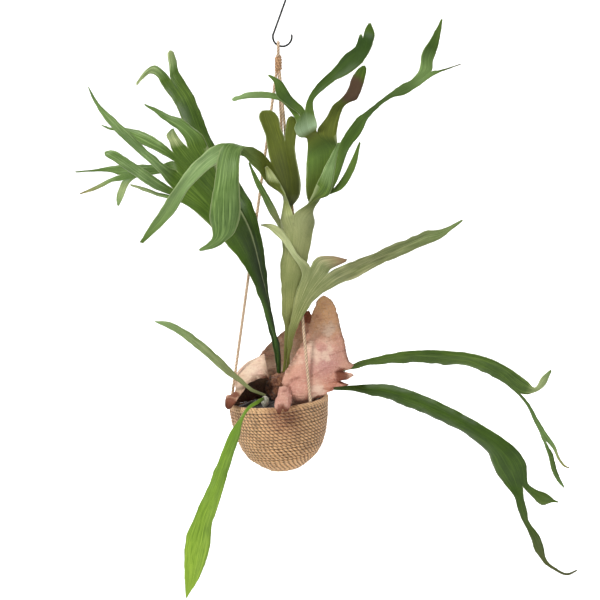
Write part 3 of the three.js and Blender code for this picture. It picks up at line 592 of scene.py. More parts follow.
FROND_LEFT = lobe("stem", [
    ((-1, 0, -585), (3, 0, -585), 0), ((-4, -8, -541), (2, -6, -541), 1),
    ((-17, -16, -494), (-8, -13, -498), 2), ((-47, -32, -419), (-27, -24, -414), -4),
    ((-83, -38, -372), (-42, -26, -357), -5), ((-115, -38, -338), (-69, -20, -307), -4),
], [
    lobe("lowest finger", [
        ((-142, -34, -319), (-158, -34, -308), 0), ((-179, -35, -308), (-180, -36, -302), 0),
        ((-196, -36, -302), (-195, -36, -296), 0), ((-217, -38, -293), (-218, -39, -290), 0),
    ]),
    lobe("lower long finger", [
        ((-158, -34, -308), (-155, -32, -298), 0), ((-182, -46, -297), (-175, -42, -283), 1.5),
        ((-209, -60, -277), (-198, -55, -266), 2), ((-234, -69, -258), (-221, -64, -250), 2),
        ((-249, -71, -248), (-237, -68, -240), 1.5), ((-254, -69, -244), (-249, -67, -238), 0),
    ]),
    lobe("upper long finger", [
        ((-155, -32, -298), (-149, -20, -273), 0), ((-171, -37, -278), (-161, -30, -267), 1),
        ((-186, -46, -261), (-178, -41, -253), 1.5), ((-208, -56, -240), (-199, -53, -232), 1.5),
        ((-236, -68, -211), (-225, -65, -204), 1.5), ((-257, -74, -184), (-249, -71, -181), 1),
        ((-269, -75, -161), (-263, -74, -163), 0), ((-274, -73, -148), (-273, -72, -147), 0),
    ]),
    lobe("middle lobe", [
        ((-149, -20, -273), (-153, -12, -260), 0), ((-171, -8, -277), (-174, -5, -264), 0),
        ((-192, 0, -281), (-196, 3, -265), 1),
    ], [
        lobe("hanging finger", [
            ((-208, 5, -283), (-232, 10, -289), 0), ((-222, 6, -293), (-236, 9, -296), 0.5),
            ((-231, 4, -313), (-242, 6, -314), 0.5), ((-238, 3, -327), (-241, 4, -326), 0),
        ]),
        lobe("outer finger", [
            ((-232, 10, -289), (-237, 11, -281), 0), ((-249, 15, -292), (-251, 16, -286), 0),
            ((-270, 22, -303), (-272, 22, -297), 0), ((-299, 29, -312), (-299, 29, -310), 0),
        ]),
        lobe("rising finger", [
            ((-237, 11, -281), (-226, 11, -265), 0), ((-249, 15, -278), (-249, 15, -268), 0.5),
            ((-272, 22, -277), (-274, 22, -273), 0), ((-305, 30, -279), (-306, 31, -277), 0),
        ]),
    ]),
    lobe("straight finger", [
        ((-153, -12, -260), (-156, -12, -245), 0), ((-180, 0, -246), (-177, 1, -229), 1),
        ((-208, 9, -233), (-203, 10, -216), 1), ((-232, 18, -218), (-229, 18, -211), 0.5),
        ((-251, 24, -215), (-250, 24, -211), 0), ((-265, 27, -209), (-265, 27, -207), 0),
    ]),
    lobe("short finger", [
        ((-156, -12, -245), (-134, -16, -238), 0), ((-160, -12, -233), (-142, -14, -230), 1),
        ((-165, -9, -221), (-149, -12, -221), 1), ((-158, -8, -212), (-155, -8, -210), 0),
    ]),
    lobe("top finger", [
        ((-134, -16, -238), (-102, -14, -241), 0), ((-137, -14, -229), (-112, -12, -221), 2),
        ((-146, -12, -215), (-129, -10, -207), 2.5), ((-157, -8, -207), (-145, -8, -196), 2),
        ((-169, -4, -199), (-161, -6, -191), 1), ((-184, 1, -187), (-179, 0, -182), 0),
        ((-199, 4, -177), (-198, 3, -175), 0),
    ]),
])

FROND_CENTER = lobe("stem", [
    ((5, 0, -584), (9, 0, -584), 0), ((8, -6, -546), (14, -6, -546), 1),
    ((9, -16, -511), (22, -15, -508), 4), ((5, -34, -471), (32, -47, -466), 5),
    ((4, -38, -418), (41, -47, -414), 9), ((5, -38, -372), (51, -40, -364), 12),
], [
    lobe("thin lobe", [
        ((-3, -27, -350), (4, -30, -346), 0), ((-14, -30, -331), (-5, -32, -325), 1),
        ((-26, -32, -308), (-17, -34, -303), 1), ((-37, -34, -282), (-31, -35, -279), 0),
        ((-44, -34, -260), (-42, -34, -258), 0),
    ]),
    lobe("left flank", [
        ((4, -30, -346), (22, -52, -336), 8), ((32, -36, -305), (14, -54, -311), 20),
    ], [
        lobe("second finger", [
            ((25, -34, -238), (10, -32, -225), 0), ((28, -30, -205), (12, -28, -199), 1),
            ((25, -30, -193), (16, -30, -190), 0),
        ]),
        lobe("centre finger", [
            ((10, -32, -225), (-11, -36, -259), 2), ((4, -32, -207), (-21, -34, -213), 5),
            ((2, -30, -182), (-37, -36, -183), 6),
        ]),
        lobe("arch", [
            ((-11, -36, -259), (-16, -48, -289), 0), ((-33, -60, -236), (-31, -64, -268), 0),
        ], [
            lobe("wide lobe", [
                ((-51, -90, -237), (-77, -94, -227), 0), ((-55, -110, -269), (-93, -106, -296), 3),
                ((-54, -104, -330), (-99, -101, -335), 5), ((-62, -99, -355), (-95, -98, -351), 4),
                ((-74, -98, -367), (-94, -99, -362), 2), ((-90, -98, -378), (-102, -100, -371), 0),
                ((-113, -100, -383), (-114, -100, -380), 0),
            ]),
            lobe("long lobe", [
                ((-77, -94, -227), (-52, -84, -246), 0), ((-107, -110, -242), (-86, -104, -255), 3),
                ((-145, -120, -286), (-125, -114, -289), 3),
                ((-173, -124, -329), (-150, -120, -328), 2),
                ((-198, -124, -367), (-193, -124, -369), 0),
            ]),
        ]),
        lobe("pale fold", [
            ((-16, -48, -289), (7, -54, -296), 0), ((-18, -50, -275), (-5, -54, -276), 0),
            ((-19, -50, -265), (-16, -52, -263), 0),
        ]),
    ]),
    lobe("right flank", [
        ((22, -52, -336), (54, -28, -345), 8), ((45, -54, -315), (41, -36, -305), 20),
    ], [
        lobe("pale blade", [
            ((56, -56, -290), (75, -52, -305), 0), ((70, -56, -260), (84, -52, -260), 0),
            ((81, -52, -240), (87, -50, -244), 0), ((87, -48, -229), (90, -48, -229), 0),
        ]),
        lobe("narrow lobe", [
            ((75, -52, -305), (81, -40, -297), 0), ((96, -40, -296), (95, -36, -279), 0),
            ((114, -30, -265), (110, -28, -249), 0), ((121, -24, -231), (119, -24, -229), 0),
        ]),
        lobe("outer lobe", [
            ((81, -40, -297), (87, -30, -238), 0), ((105, -29, -239), (98, -25, -219), 1),
            ((122, -15, -218), (113, -14, -198), 1), ((134, -4, -195), (128, -5, -187), 0),
            ((162, 7, -170), (157, 6, -165), 0), ((188, 15, -161), (182, 18, -148), 2),
            ((207, 23, -151), (199, 25, -139), 2),
        ], [
            lobe("right tine", [
                ((225, 29, -138), (228, 32, -128), 0), ((240, 35, -130), (240, 35, -126), 0),
                ((274, 48, -118), (273, 48, -117), 0),
            ]),
            lobe("top tine", [
                ((228, 32, -128), (210, 28, -124), 0), ((231, 33, -112), (213, 29, -100), 2),
                ((239, 37, -88), (226, 35, -80), 1), ((245, 41, -51), (243, 40, -50), 0),
            ]),
        ]),
        lobe("back flank", [
            ((87, -30, -238), (41, -34, -268), 0),
        ], [
            lobe("brown lobe", [
                ((86, -28, -223), (57, -27, -215), 0), ((89, -21, -200), (69, -24, -196), 2),
                ((98, -13, -177), (80, -17, -177), 2), ((116, -7, -168), (99, -8, -159), 2),
                ((127, 4, -142), (109, 3, -136), 1), ((132, 12, -118), (121, 10, -119), 0),
            ]),
            lobe("mint curl", [
                ((57, -28, -215), (42, -26, -225), 0), ((57, -36, -207), (30, -34, -222), 2),
                ((56, -41, -197), (24, -42, -209), 3),
            ], [
                lobe("long top lobe", [
                    ((53, -44, -188), (39, -48, -182), 0), ((52, -46, -168), (45, -46, -162), 0),
                    ((66, -44, -153), (60, -42, -141), 1), ((87, -49, -138), (80, -46, -122), 2),
                    ((108, -53, -126), (96, -48, -102), 3), ((129, -58, -105), (112, -51, -90), 2),
                ], [
                    lobe("top right tine", [
                        ((138, -62, -83), (123, -56, -77), 0), ((140, -60, -71), (126, -55, -65), 1),
                        ((134, -58, -56), (131, -57, -56), 0),
                    ]),
                    lobe("top left tine", [
                        ((123, -56, -77), (115, -52, -83), 0), ((121, -53, -72), (118, -52, -73), 0),
                    ]),
                ]),
                lobe("dark curl", [
                    ((39, -48, -182), (32, -50, -190), 0), ((19, -56, -161), (16, -56, -176), -1),
                    ((13, -58, -151), (-2, -58, -161), -1), ((4, -56, -138), (-6, -56, -142), -1),
                    ((-13, -54, -130), (-15, -54, -132), 0),
                ]),
                lobe("side tine", [
                    ((32, -50, -190), (26, -48, -196), 0), ((2, -40, -160), (2, -38, -169), 0),
                    ((-24, -40, -155), (-24, -38, -165), 0), ((-47, -38, -157), (-45, -38, -166), -1),
                    ((-56, -38, -161), (-58, -38, -168), 0), ((-67, -36, -163), (-68, -36, -171), 0),
                ]),
            ]),
        ]),
    ]),
])

FROND_LOWER_RIGHT = lobe("stem", [
    ((10, -9, -584), (14, -9, -584), 0), ((13, -20, -541), (19, -19, -541), 1),
    ((17, -42, -495), (31, -47, -496), 2), ((26, -56, -448), (57, -55, -457), 3),
], [
    lobe("pale ribbon", [
        ((35, -56, -421), (47, -56, -412), 0), ((21, -64, -395), (30, -64, -393), 0),
        ((6, -68, -372), (16, -68, -369), 0), ((-5, -70, -361), (2, -72, -351), 0),
        ((-15, -66, -353), (-12, -66, -346), 0), ((-25, -62, -350), (-26, -62, -348), 0),
    ]),
    lobe("brown-edged lobe", [
        ((47, -56, -412), (72, -50, -422), 0), ((57, -62, -396), (78, -58, -413), 2),
        ((81, -64, -394), (87, -62, -408), 2), ((101, -62, -399), (99, -62, -403), 0),
    ]),
    lobe("main lobe", [
        ((72, -50, -422), (93, -40, -437), 0), ((100, -50, -407), (113, -44, -430), -5),
        ((140, -58, -391), (150, -51, -408), -6), ((174, -64, -375), (185, -58, -393), -6),
        ((195, -67, -366), (208, -63, -381), -4), ((215, -71, -357), (224, -68, -374), -3),
        ((230, -74, -355), (238, -73, -367), -1), ((245, -76, -351), (251, -78, -355), -1),
        ((267, -83, -338), (268, -84, -340), 0),
    ]),
])

FROND_RIGHT_UPPER = lobe("stem", [
    ((27, 10, -590), (27, 10, -596), 0), ((56, 24, -585), (56, 24, -590), 0),
    ((85, 32, -582), (85, 32, -587), 0), ((111, 32, -572), (111, 32, -579), 1),
    ((138, 37, -563), (139, 37, -574), 2), ((203, 50, -553), (200, 51, -572), 4),
    ((262, 59, -555), (253, 60, -577), 5), ((309, 65, -563), (298, 69, -583), 5),
    ((349, 68, -580), (332, 73, -600), 4),
], [
    lobe("finger", [
        ((382, 77, -604), (374, 79, -626), 0), ((396, 77, -616), (398, 80, -624), 0),
        ((406, 78, -599), (413, 80, -612), 1), ((420, 80, -588), (422, 81, -591), 0),
    ]),
    lobe("tail", [
        ((374, 79, -626), (364, 80, -622), 0), ((390, 86, -645), (385, 86, -647), 0),
        ((403, 91, -668), (397, 92, -673), 0),
    ], [
        lobe("upper tine", [
            ((416, 93, -689), (415, 95, -702), 0), ((431, 93, -711), (427, 94, -716), 0),
            ((438, 93, -729), (435, 92, -733), 0), ((447, 94, -742), (445, 93, -745), 0),
            ((454, 94, -746), (454, 94, -748), 0),
        ]),
        lobe("lower tine", [
            ((415, 95, -702), (411, 98, -701), 0), ((429, 105, -727), (422, 103, -732), 1),
            ((435, 108, -747), (427, 106, -752), 1), ((443, 108, -769), (437, 107, -771), 0),
            ((449, 108, -781), (448, 108, -783), 0),
        ]),
    ]),
])

FROND_RIGHT_LOWER = lobe("stem", [
    ((24, 4, -597), (24, 4, -602), 0), ((56, 16, -597), (56, 16, -604), 0),
    ((88, 18, -602), (88, 18, -609), 0), ((118, 15, -600), (117, 15, -611), 1.5),
    ((167, -5, -596), (158, 0, -618), 4), ((216, -25, -608), (204, -17, -632), 5),
    ((266, -47, -628), (247, -34, -648), 6), ((313, -69, -652), (285, -51, -666), 6),
    ((348, -83, -675), (310, -60, -686), 6), ((365, -86, -699), (319, -63, -710), 4),
], [
    lobe("side lobe", [
        ((369, -82, -730), (362, -77, -737), 0), ((383, -82, -740), (375, -79, -750), 1),
        ((397, -84, -745), (390, -82, -763), 2), ((407, -85, -753), (404, -84, -758), 0),
        ((414, -87, -756), (414, -87, -758), 0),
    ]),
    lobe("tail", [
        ((362, -77, -737), (333, -65, -732), 0), ((364, -76, -754), (349, -71, -752), 1),
        ((369, -76, -772), (356, -72, -775), 1), ((373, -75, -791), (365, -72, -795), 0),
        ((387, -79, -809), (375, -75, -815), 2), ((394, -79, -827), (383, -76, -835), 1),
        ((399, -80, -847), (394, -79, -851), 0), ((413, -87, -858), (411, -86, -862), 0),
        ((427, -93, -863), (427, -93, -867), 0), ((441, -99, -856), (442, -99, -858), 0),
    ]),
])

FROND_YOUNG_UP = lobe("stem", [
    ((-20, -28, -610), (-18, -28, -607), 0), ((-41, -38, -600), (-38, -38, -596), 0),
    ((-60, -46, -584), (-56, -46, -578), 0.5), ((-78, -59, -570), (-71, -56, -561), 1),
    ((-106, -77, -541), (-97, -73, -532), 1.5), ((-135, -93, -513), (-127, -90, -504), 1.5),
    ((-159, -103, -495), (-155, -101, -487), 1), ((-178, -109, -485), (-178, -109, -483), 0),
])

FROND_YOUNG_DOWN = lobe("stem", [
    ((-20, -34, -613), (-22, -34, -609), 0), ((-30, -66, -614), (-33, -66, -609), 0),
    ((-42, -80, -619), (-45, -80, -615), 0), ((-52, -88, -635), (-57, -88, -631), 0.5),
    ((-57, -90, -660), (-72, -90, -654), 1.5), ((-69, -92, -697), (-89, -92, -696), 3),
    ((-84, -104, -746), (-109, -103, -744), 3.5), ((-96, -110, -783), (-124, -108, -776), 3.5),
    ((-100, -115, -818), (-136, -113, -808), 3.5), ((-110, -118, -852), (-138, -117, -846), 3),
    ((-121, -120, -871), (-137, -121, -875), 1), ((-134, -123, -893), (-136, -123, -892), 0),
])

SHIELD_FROND_RIGHT = lobe("stem", [
    ((22, -38, -627), (51, -30, -624), 2), ((17, -44, -612), (56, -33, -613), 3),
    ((14, -46, -603), (78, -34, -600), 6), ((5, -44, -583), (98, -26, -593), 9),
    ((17, -32, -560), (108, -18, -573), 11), ((32, -20, -535), (103, -12, -548), 11),
    ((45, -8, -509), (95, -6, -517), 8), ((53, 4, -482), (86, 4, -482), 5),
    ((62, 10, -463), (74, 10, -463), 1),
])

SHIELD_FROND_FRONT = lobe("stem", [
    ((16, -46, -627), (4, -44, -627), 2), ((19, -64, -596), (2, -60, -591), 4),
    ((19, -72, -601), (-2, -70, -600), 5), ((19, -84, -607), (-5, -84, -607), 5),
], [
    lobe("right end", [
        ((17, -88, -613), (7, -90, -614), 2), ((14, -88, -620), (9, -88, -621), 0),
    ]),
    lobe("left end", [
        ((7, -90, -614), (-5, -88, -613), 2), ((4, -88, -623), (-1, -88, -624), 0),
    ]),
])

SHIELD_FROND_LEFT = lobe("stem", [
    ((-14, -16, -588), (-13, 30, -620), 58), ((-20, -27, -583), (-23, 37, -625), 52),
    ((-30, -31, -584), (-36, 35, -626), 45), ((-41, -34, -588), (-47, 24, -627), 34),
    ((-49, -38, -595), (-55, 2, -625), 17), ((-56, -47, -605), (-66, -25, -616), 10),
    ((-62, -58, -611), (-76, -38, -608), 4),
], [
    lobe("curled tip", [
        ((-65, -64, -614), (-79, -56, -611), 2), ((-70, -69, -621), (-79, -66, -621), 0),
    ]),
])

SHIELD_FROND_BACK = lobe("stem", [
    ((-32, 42, -630), (50, 37, -629), -12), ((-34, 44, -617), (53, 38, -614), -13),
    ((-40, 47, -597), (64, 41, -594), -14), ((-40, 48, -580), (67, 42, -577), -14),
    ((-26, 46, -555), (61, 40, -554), -12), ((1, 44, -528), (55, 38, -524), -8),
    ((26, 42, -505), (50, 38, -503), -4), ((40, 40, -491), (46, 40, -491), 0),
])


# ---- growing a blade's piece ------------------------------------------------------
SWELL = 1.8  # how far the swells lift a sheet, in mm
WIDE_SWELL, SMALL_SWELL, RUFFLE_WIDTH = 34, 13, 15  # how far apart they are, in mm
WIDE_BITE, SMALL_BITE = 5, 2.2  # and the bites in its edge
LOBE_REACH = 45  # a tear stays within this distance of its place, in mm
BLUNTEST_TIP = 4  # a tip is rounded from this width up, as its half-circle's reach in mm
FADE_IN = 32  # a lobe takes its own colour over this length, in mm
EDGE_HALF, MIDDLE_HALF = 0.22, 0.5  # half the sheet's thickness, as a share of it


def lobe_facts(blade, facts):
    """Per point: its share along its lobe, its mm into it and its share across it.
    Also each lobe's parent, by name."""
    spans, parents = {}, {blade["name"]: None}

    def walk(part):
        for fork in part["forks"]:
            parents[fork["name"]] = part["name"]
            walk(fork)

    walk(blade)
    for column, travelled, name in facts:
        low, high, first, last = spans.get(name, (1e9, -1e9, 1e9, -1e9))
        spans[name] = (min(low, travelled), max(high, travelled), min(first, column), max(last, column))
    along = np.array([(t - spans[n][0]) / max(spans[n][1] - spans[n][0], 1) for c, t, n in facts])
    into = np.array([t - spans[n][0] for c, t, n in facts])
    across = np.array([(c - spans[n][2]) / max(spans[n][3] - spans[n][2], 1) for c, t, n in facts])
    return along, into, across, parents


def look_of(looks, name, along):
    """A lobe's colour at a share of its length, and how felted and how dead it is."""
    base, tip, under, dead = (*looks.get(name, looks["stem"]), 0, 0)[:4]
    base, tip = np.array(linear(*base)), np.array(linear(*tip))
    return base + (tip - base) * along ** 1.5, under, dead


def rounded_tips(points, facts, blade):
    """Rounds the end of every lobe that ends wide."""
    rows, points = {}, points.copy()
    for i, (column, travelled, name) in enumerate(facts):
        rows.setdefault(name, {}).setdefault(round(travelled, 3), []).append(i)

    def walk(part):
        for fork in part["forks"]:
            walk(fork)
        if part["forks"] or part["name"] not in rows:
            return
        lobe_rows = rows[part["name"]]
        last = max(lobe_rows)
        tip = points[lobe_rows[last]]
        reach = 0.6 * np.linalg.norm(tip[0] - tip[-1])
        if reach < BLUNTEST_TIP:
            return
        for travelled, row in lobe_rows.items():
            share = (last - travelled) / reach
            if share < 1:
                middle = points[row].mean(axis=0)
                width = max(0.3, math.sqrt(1 - (1 - share) ** 2))
                points[row] = middle + (points[row] - middle) * width

    walk(blade)
    return points


def sheet_normals(points, quads):
    """Which way the sheet faces at each point."""
    corners = np.array(quads)
    across = points[corners[:, 2]] - points[corners[:, 0]]
    face_normals = np.cross(across, points[corners[:, 3]] - points[corners[:, 1]])
    normals = np.zeros_like(points)
    for k in range(4):
        np.add.at(normals, corners[:, k], face_normals)
    return unit(normals)


def sheet_border(quads):
    """The sheet's outer edges, as pairs of points, each in its quad's direction."""
    sides = {side: None for quad in quads for side in zip(quad, quad[1:] + quad[:1])}
    return [(a, b) for a, b in sides if (b, a) not in sides]


def swells(points, into, rim, seed, ruffle, bulges):
    """How far each point stands off the plain sheet: gentle swells all over,
    ruffles that grow toward each lobe's edges, and the bulges."""
    lift = SWELL * 0.9 * wobble(points, WIDE_SWELL, seed)
    lift = lift + SWELL * 0.35 * wobble(points, SMALL_SWELL, seed + 5)
    grown_in = np.clip(into / 25, 0, 1)
    lift = lift + ruffle * 1.3 * rim ** 3 * grown_in * wobble(points, RUFFLE_WIDTH, seed + 9)
    for centre, reach, height in bulges:
        gap = np.linalg.norm(points - centre, axis=1) / reach
        lift = lift + height * np.exp(-gap ** 2 * 2)
    return lift


def torn(points, on_border, rim, tears):
    """V-shaped tears in the edge, or tips where the inward distance is negative."""
    for centre, reach, inward in tears:
        gap = np.linalg.norm(points - centre, axis=1)
        nearest = points[np.argmin(np.where(on_border, gap, 1e9))]
        along_edge = np.abs((points - nearest)[:, 2])
        pull = inward * np.clip(1 - along_edge / reach, 0, 1) * np.clip((rim - 0.25) / 0.75, 0, 1)
        close = np.linalg.norm(points - nearest, axis=1) < LOBE_REACH
        middle = points[rim < 0.2].mean(axis=0)
        toward = unit((middle - nearest) * (1, 1, 0.15))
        points = points + np.where(close, pull, 0)[:, None] * toward
    return points


def bitten(points, quads, on_border, ragged, seed):
    """Small uneven bites along the edge, about ragged mm deep."""
    points, inward = points.copy(), {}
    for quad in quads:
        centre = points[list(quad)].mean(axis=0)
        for i in quad:
            if on_border[i]:
                inward.setdefault(i, []).append(centre)
    bites = wobble(points, WIDE_BITE, seed + 3) + 0.7 * wobble(points, SMALL_BITE, seed + 4)
    for i, inner in inward.items():
        toward = unit(np.mean(inner, axis=0) - points[i])
        points[i] = points[i] + toward * ragged * bites[i]
    return points


def lobe_colours(names, along, into, across, parents, looks, shade):
    """Each point's colour, how felted it looks and how dead, faded in from its parent's, with painted
    light and shade scaled across a lobe from one side to the other.
    """
    lengths = {name: 1.0 for name in names}
    for name, distance in zip(names, into):
        lengths[name] = max(lengths[name], distance)
    rows = []
    for i, name in enumerate(names):
        colour, under, dead = look_of(looks, name, along[i])
        parent = parents.get(name)
        if parent:
            was, was_under, was_dead = look_of(looks, parent, 1.0)
            share = min(into[i] / min(FADE_IN, 0.4 * lengths[name]), 1)
            colour = was + (colour - was) * share
            under, dead = was_under + (under - was_under) * share, was_dead + (dead - was_dead) * share
        # painted light and shade: a lobe's colour is scaled from its left side to its right, less toward
        # its tip
        left, right = shade.get(name, (1, 1))
        shading = left + (right - left) * across[i]
        rows.append((colour * (1 + (shading - 1) * (1 - along[i] ** 3)), under, dead))
    tints, unders, deads = zip(*rows)
    return np.array(tints), np.array(unders), np.array(deads)


def blade_piece(node, blade, looks, material, seed, thickness=1.0, columns=6, row_length=5,
                ruffle=1.9, ragged=0.5, shade=None, bulges=(), tears=()):
    """One blade as a piece of its own, grown over the CAD node of that name."""
    points, quads, facts = sheet_points(blade, columns, row_length)
    names = [name for column, travelled, name in facts]
    along, into, across, parents = lobe_facts(blade, facts)
    rim = np.abs(2 * across - 1)
    border = sheet_border(quads)
    on_border = np.zeros(len(points), bool)
    on_border[[i for side in border for i in side]] = True

    points = rounded_tips(points, facts, blade)
    normals = sheet_normals(points, quads)
    lift = swells(points, into, rim, seed, ruffle, bulges)
    points = torn(points + normals * lift[:, None], on_border, rim, tears)
    points = bitten(points, quads, on_border, ragged, seed)

    # the sheet's thickness, thinner at its edges
    half = np.where(on_border, EDGE_HALF, MIDDLE_HALF)[:, None] * thickness
    count = len(points)
    solid = np.vstack([points + normals * half, points - normals * half])
    faces = list(quads) + [tuple(i + count for i in quad[::-1]) for quad in quads]
    faces += [(b, a, a + count, b + count) for a, b in border]

    tints, unders, deads = lobe_colours(names, along, into, across, parents, looks, shade or {})
    grain = [(column * 14 / columns + seed * 31, travelled, 0) for column, travelled, name in facts]
    edge = np.maximum(np.clip((rim - 0.8) / 0.2, 0, 1), on_border)
    spots = {
        "tint": np.tile(tints, (2, 1)),
        "grain": np.tile(grain, (2, 1)),
        "edge": np.tile(edge, 2),
        "under": np.concatenate([unders, np.maximum(0.75, unders)]),
        "dead": np.tile(deads * (0.4 + 0.6 * rim), 2),
    }
    add_piece(node + "_leaf", node, solid, faces, material, spots)


# ---- the cords and the hook ------------------------------------------------------
jute_cord = jute_material("cord_jute_twisted", (236, 206, 172), (206, 174, 140), (140, 108, 80))
jute_knot = jute_material("knot_jute_wound", (222, 176, 128), (190, 140, 92), (128, 84, 50))


def rope_piece(name, node, path, pitch=15):
    points, faces, facts = twisted_rope(path, CORD_DIAMETER, 3, pitch, 15, groove=0.2)
    return add_piece(name, node, points, faces, jute_cord, rope_facts(facts))


def arc(centre, low, high):
    """A bend of the hook, between two angles in degrees."""
    turns = np.radians(np.linspace(low, high, 12))
    ring = np.stack([np.cos(turns), 0 * turns, np.sin(turns)], axis=1)
    return np.array(centre) + HOOK_BEND_RADIUS * ring


def smooth_line(stops, step):
    """A smooth curve through the stops, with points about step mm apart."""
    stops = np.asarray(stops, float)
    line = []
    for i in range(len(stops) - 1):
        before, after = stops[max(i - 1, 0)], stops[min(i + 2, len(stops) - 1)]
        for t in np.linspace(0, 1, 12, endpoint=False):
            line.append(between(before[None], stops[i][None], stops[i + 1][None], after[None], t)[0])
    return resampled(np.vstack([line, stops[-1:]]), step)


for side, degrees in CORD_ANGLES.items():
    turn = math.radians(degrees)
    out = np.array([math.cos(turn), math.sin(turn), 0])
    start = out * 0.6 * CORD_DIAMETER + (0, 0, KNOT_BOTTOM + 1)
    end = tilted(out * (RIM_RADIUS - ROPE_DIAMETER / 2)) + (0, 0, 0.75)
    path = resampled([start, end], 1.6)
    cord = rope_piece(f"cord_{side}_twisted", f"cord_{side}", path)

upper_bend = (0, 0, HOOK_WIRE / 2 - HOOK_BEND_RADIUS)
lower_bend = (HOOK_LEAN, 0, upper_bend[2] - HOOK_BEND_SPACING)
wire_line = smooth_line(np.vstack([arc(upper_bend, 200, -30), arc(lower_bend, 150, 375)]), 1.0)
points, faces, facts = twisted_rope(wire_line, HOOK_WIRE, 1, 1e9, 20, groove=0, fade=1.2)
add_piece("s_hook_wire", "s_hook", points, faces, steel_material())

wire_top = lower_bend[2] - math.sqrt(HOOK_BEND_RADIUS ** 2 - HOOK_LEAN ** 2) + HOOK_WIRE / 2
loop_top = wire_top + CORD_DIAMETER / 2 + 0.9
loop_side = (HOOK_WIRE + CORD_DIAMETER) / 2 + 0.6
half_loop = [(0, 0.58 * CORD_DIAMETER, KNOT_TOP - 1.5), (0, loop_side * 0.9, KNOT_TOP + 6),
             (0, loop_side, loop_top - 5.5), (0, loop_side * 0.8, loop_top - 1.7)]
other_half = [(x, -y, z) for x, y, z in half_loop][::-1]
loop_line = smooth_line(half_loop + [(0, 0, loop_top)] + other_half, 0.8)
loop = rope_piece("cord_loop_twisted", "cord_loop", loop_line, pitch=13)

# the knot: the strands' core, and the cord wound round it
turns = (KNOT_TOP - KNOT_BOTTOM - WINDING) / WINDING
angles = np.linspace(0, 2 * math.pi * turns, int(turns * 40))
radius = KNOT_RADIUS - WINDING / 2 + 0.35
wound = np.stack([radius * np.cos(angles), radius * np.sin(angles),
                  KNOT_TOP - WINDING / 2 - WINDING * angles / (2 * math.pi)], axis=1)
core_line = resampled([(0, 0, KNOT_TOP + 1.5), (0, 0, KNOT_BOTTOM - 1.5)], 0.8)
knot_parts = [twisted_rope(wound, WINDING + 0.3, 3, 11, 14, groove=0.22, fade=2),
              twisted_rope(core_line, 7.2, 3, 26, 18, groove=0.3)]
points, faces, facts = merged(knot_parts)
add_piece("cord_knot_wound", "cord_knot", points, faces, jute_knot, rope_facts(facts))

# ---- the basket: one twisted rope, coiled from the floor's middle up to the rim ----
basket_jute = jute_material("basket_jute_coiled", (246, 202, 148), (188, 132, 80), (84, 46, 24), True)


def outline_at(distances):
    """The middle of the basket's wall, as radius and height at distances along it."""
    line = np.array(OUTSIDE, float)
    heading = unit(np.gradient(line, axis=0))
    line = line + np.stack([-heading[:, 1], heading[:, 0]], axis=1) * COIL_ROPE / 2
    line[:, 0] = np.maximum(line[:, 0], 0)
    at = np.concatenate([[0], np.cumsum(np.linalg.norm(np.diff(line, axis=0), axis=1))])
    return at[-1], np.interp(distances, at, line[:, 0]), np.interp(distances, at, line[:, 1])


def coil_line():
    """The coiled rope's middle, from near the floor's centre out and up to the rim."""
    wall, _, _ = outline_at([0])
    coiled = wall - COIL_START
    rows = round(coiled / COIL_ROPE)
    spread = coiled / rows
    line, angle = [], 0.0
    last_turn = 2 * math.pi * (coiled / spread + 1)
    while angle < last_turn:
        distance = min(COIL_START + spread * angle / (2 * math.pi), wall)
        _, radius, height = outline_at([distance])
        turn = angle - COIL_ANGLE
        line.append((radius[0] * math.cos(turn), radius[0] * math.sin(turn), height[0]))
        angle += COIL_STEP / max(radius[0], 4)
    line = np.array(line)
    return line + 0.55 * sway(line, 9, (3, 5, 8))


def row_gap_shade(points, centres):
    """How far each point of a coil faces its neighbouring rows and not outward, as painted shade between
    the rows.
    """
    rows = np.repeat(centres, COIL_SIDES, axis=0)
    outward = unit(rows - np.array([0, 0, -35]))
    facing = (unit(points - rows) * outward).sum(axis=1)
    return np.clip(1 - facing, 0, 1) ** 2.2


coil = coil_line()
points, faces, facts = twisted_rope(coil, COIL_ROPE + 0.4, 2, 13, COIL_SIDES, groove=0.34)
# painted shade: the coil darkens where it faces the rows beside it
facts["deep"] = np.maximum(facts["deep"], row_gap_shade(points, coil))
add_piece("basket_coil", "basket", tilted(points), faces, basket_jute, rope_facts(facts))

angles = np.linspace(0, 2 * math.pi, 300)
radius = RIM_RADIUS - ROPE_DIAMETER / 2
rim_line = np.stack([radius * np.cos(angles), radius * np.sin(angles),
                     np.full(len(angles), -ROPE_DIAMETER / 2)], axis=1)
rim_line = rim_line + 0.3 * sway(rim_line, 12, (2, 4, 6))
points, faces, facts = twisted_rope(rim_line, ROPE_DIAMETER + 0.3, 3, 16, 16, groove=0.2)
# the rim rope's painted groove shade, weaker than the coil's
facts["deep"] = np.array(facts["deep"]) * 0.7
add_piece("basket_rim_rope", "basket_rim", tilted(points), faces, basket_jute,
          rope_facts(facts))


# ---- root ball, rhizome and pup --------------------------------------------------
def lathe(profile, segments):
    """Revolves (radius, height) about the basket's axis."""
    turns = np.linspace(0, 2 * math.pi, segments, endpoint=False)
    points, faces = [], []
    for radius, height in profile:
        points += [(radius * math.cos(a), radius * math.sin(a), height) for a in turns]
    for i in range(len(profile) - 1):
        for j in range(segments):
            k = (j + 1) % segments
            faces.append((i * segments + j, i * segments + k, (i + 1) * segments + k,
                          (i + 1) * segments + j))
    return np.array(points), faces


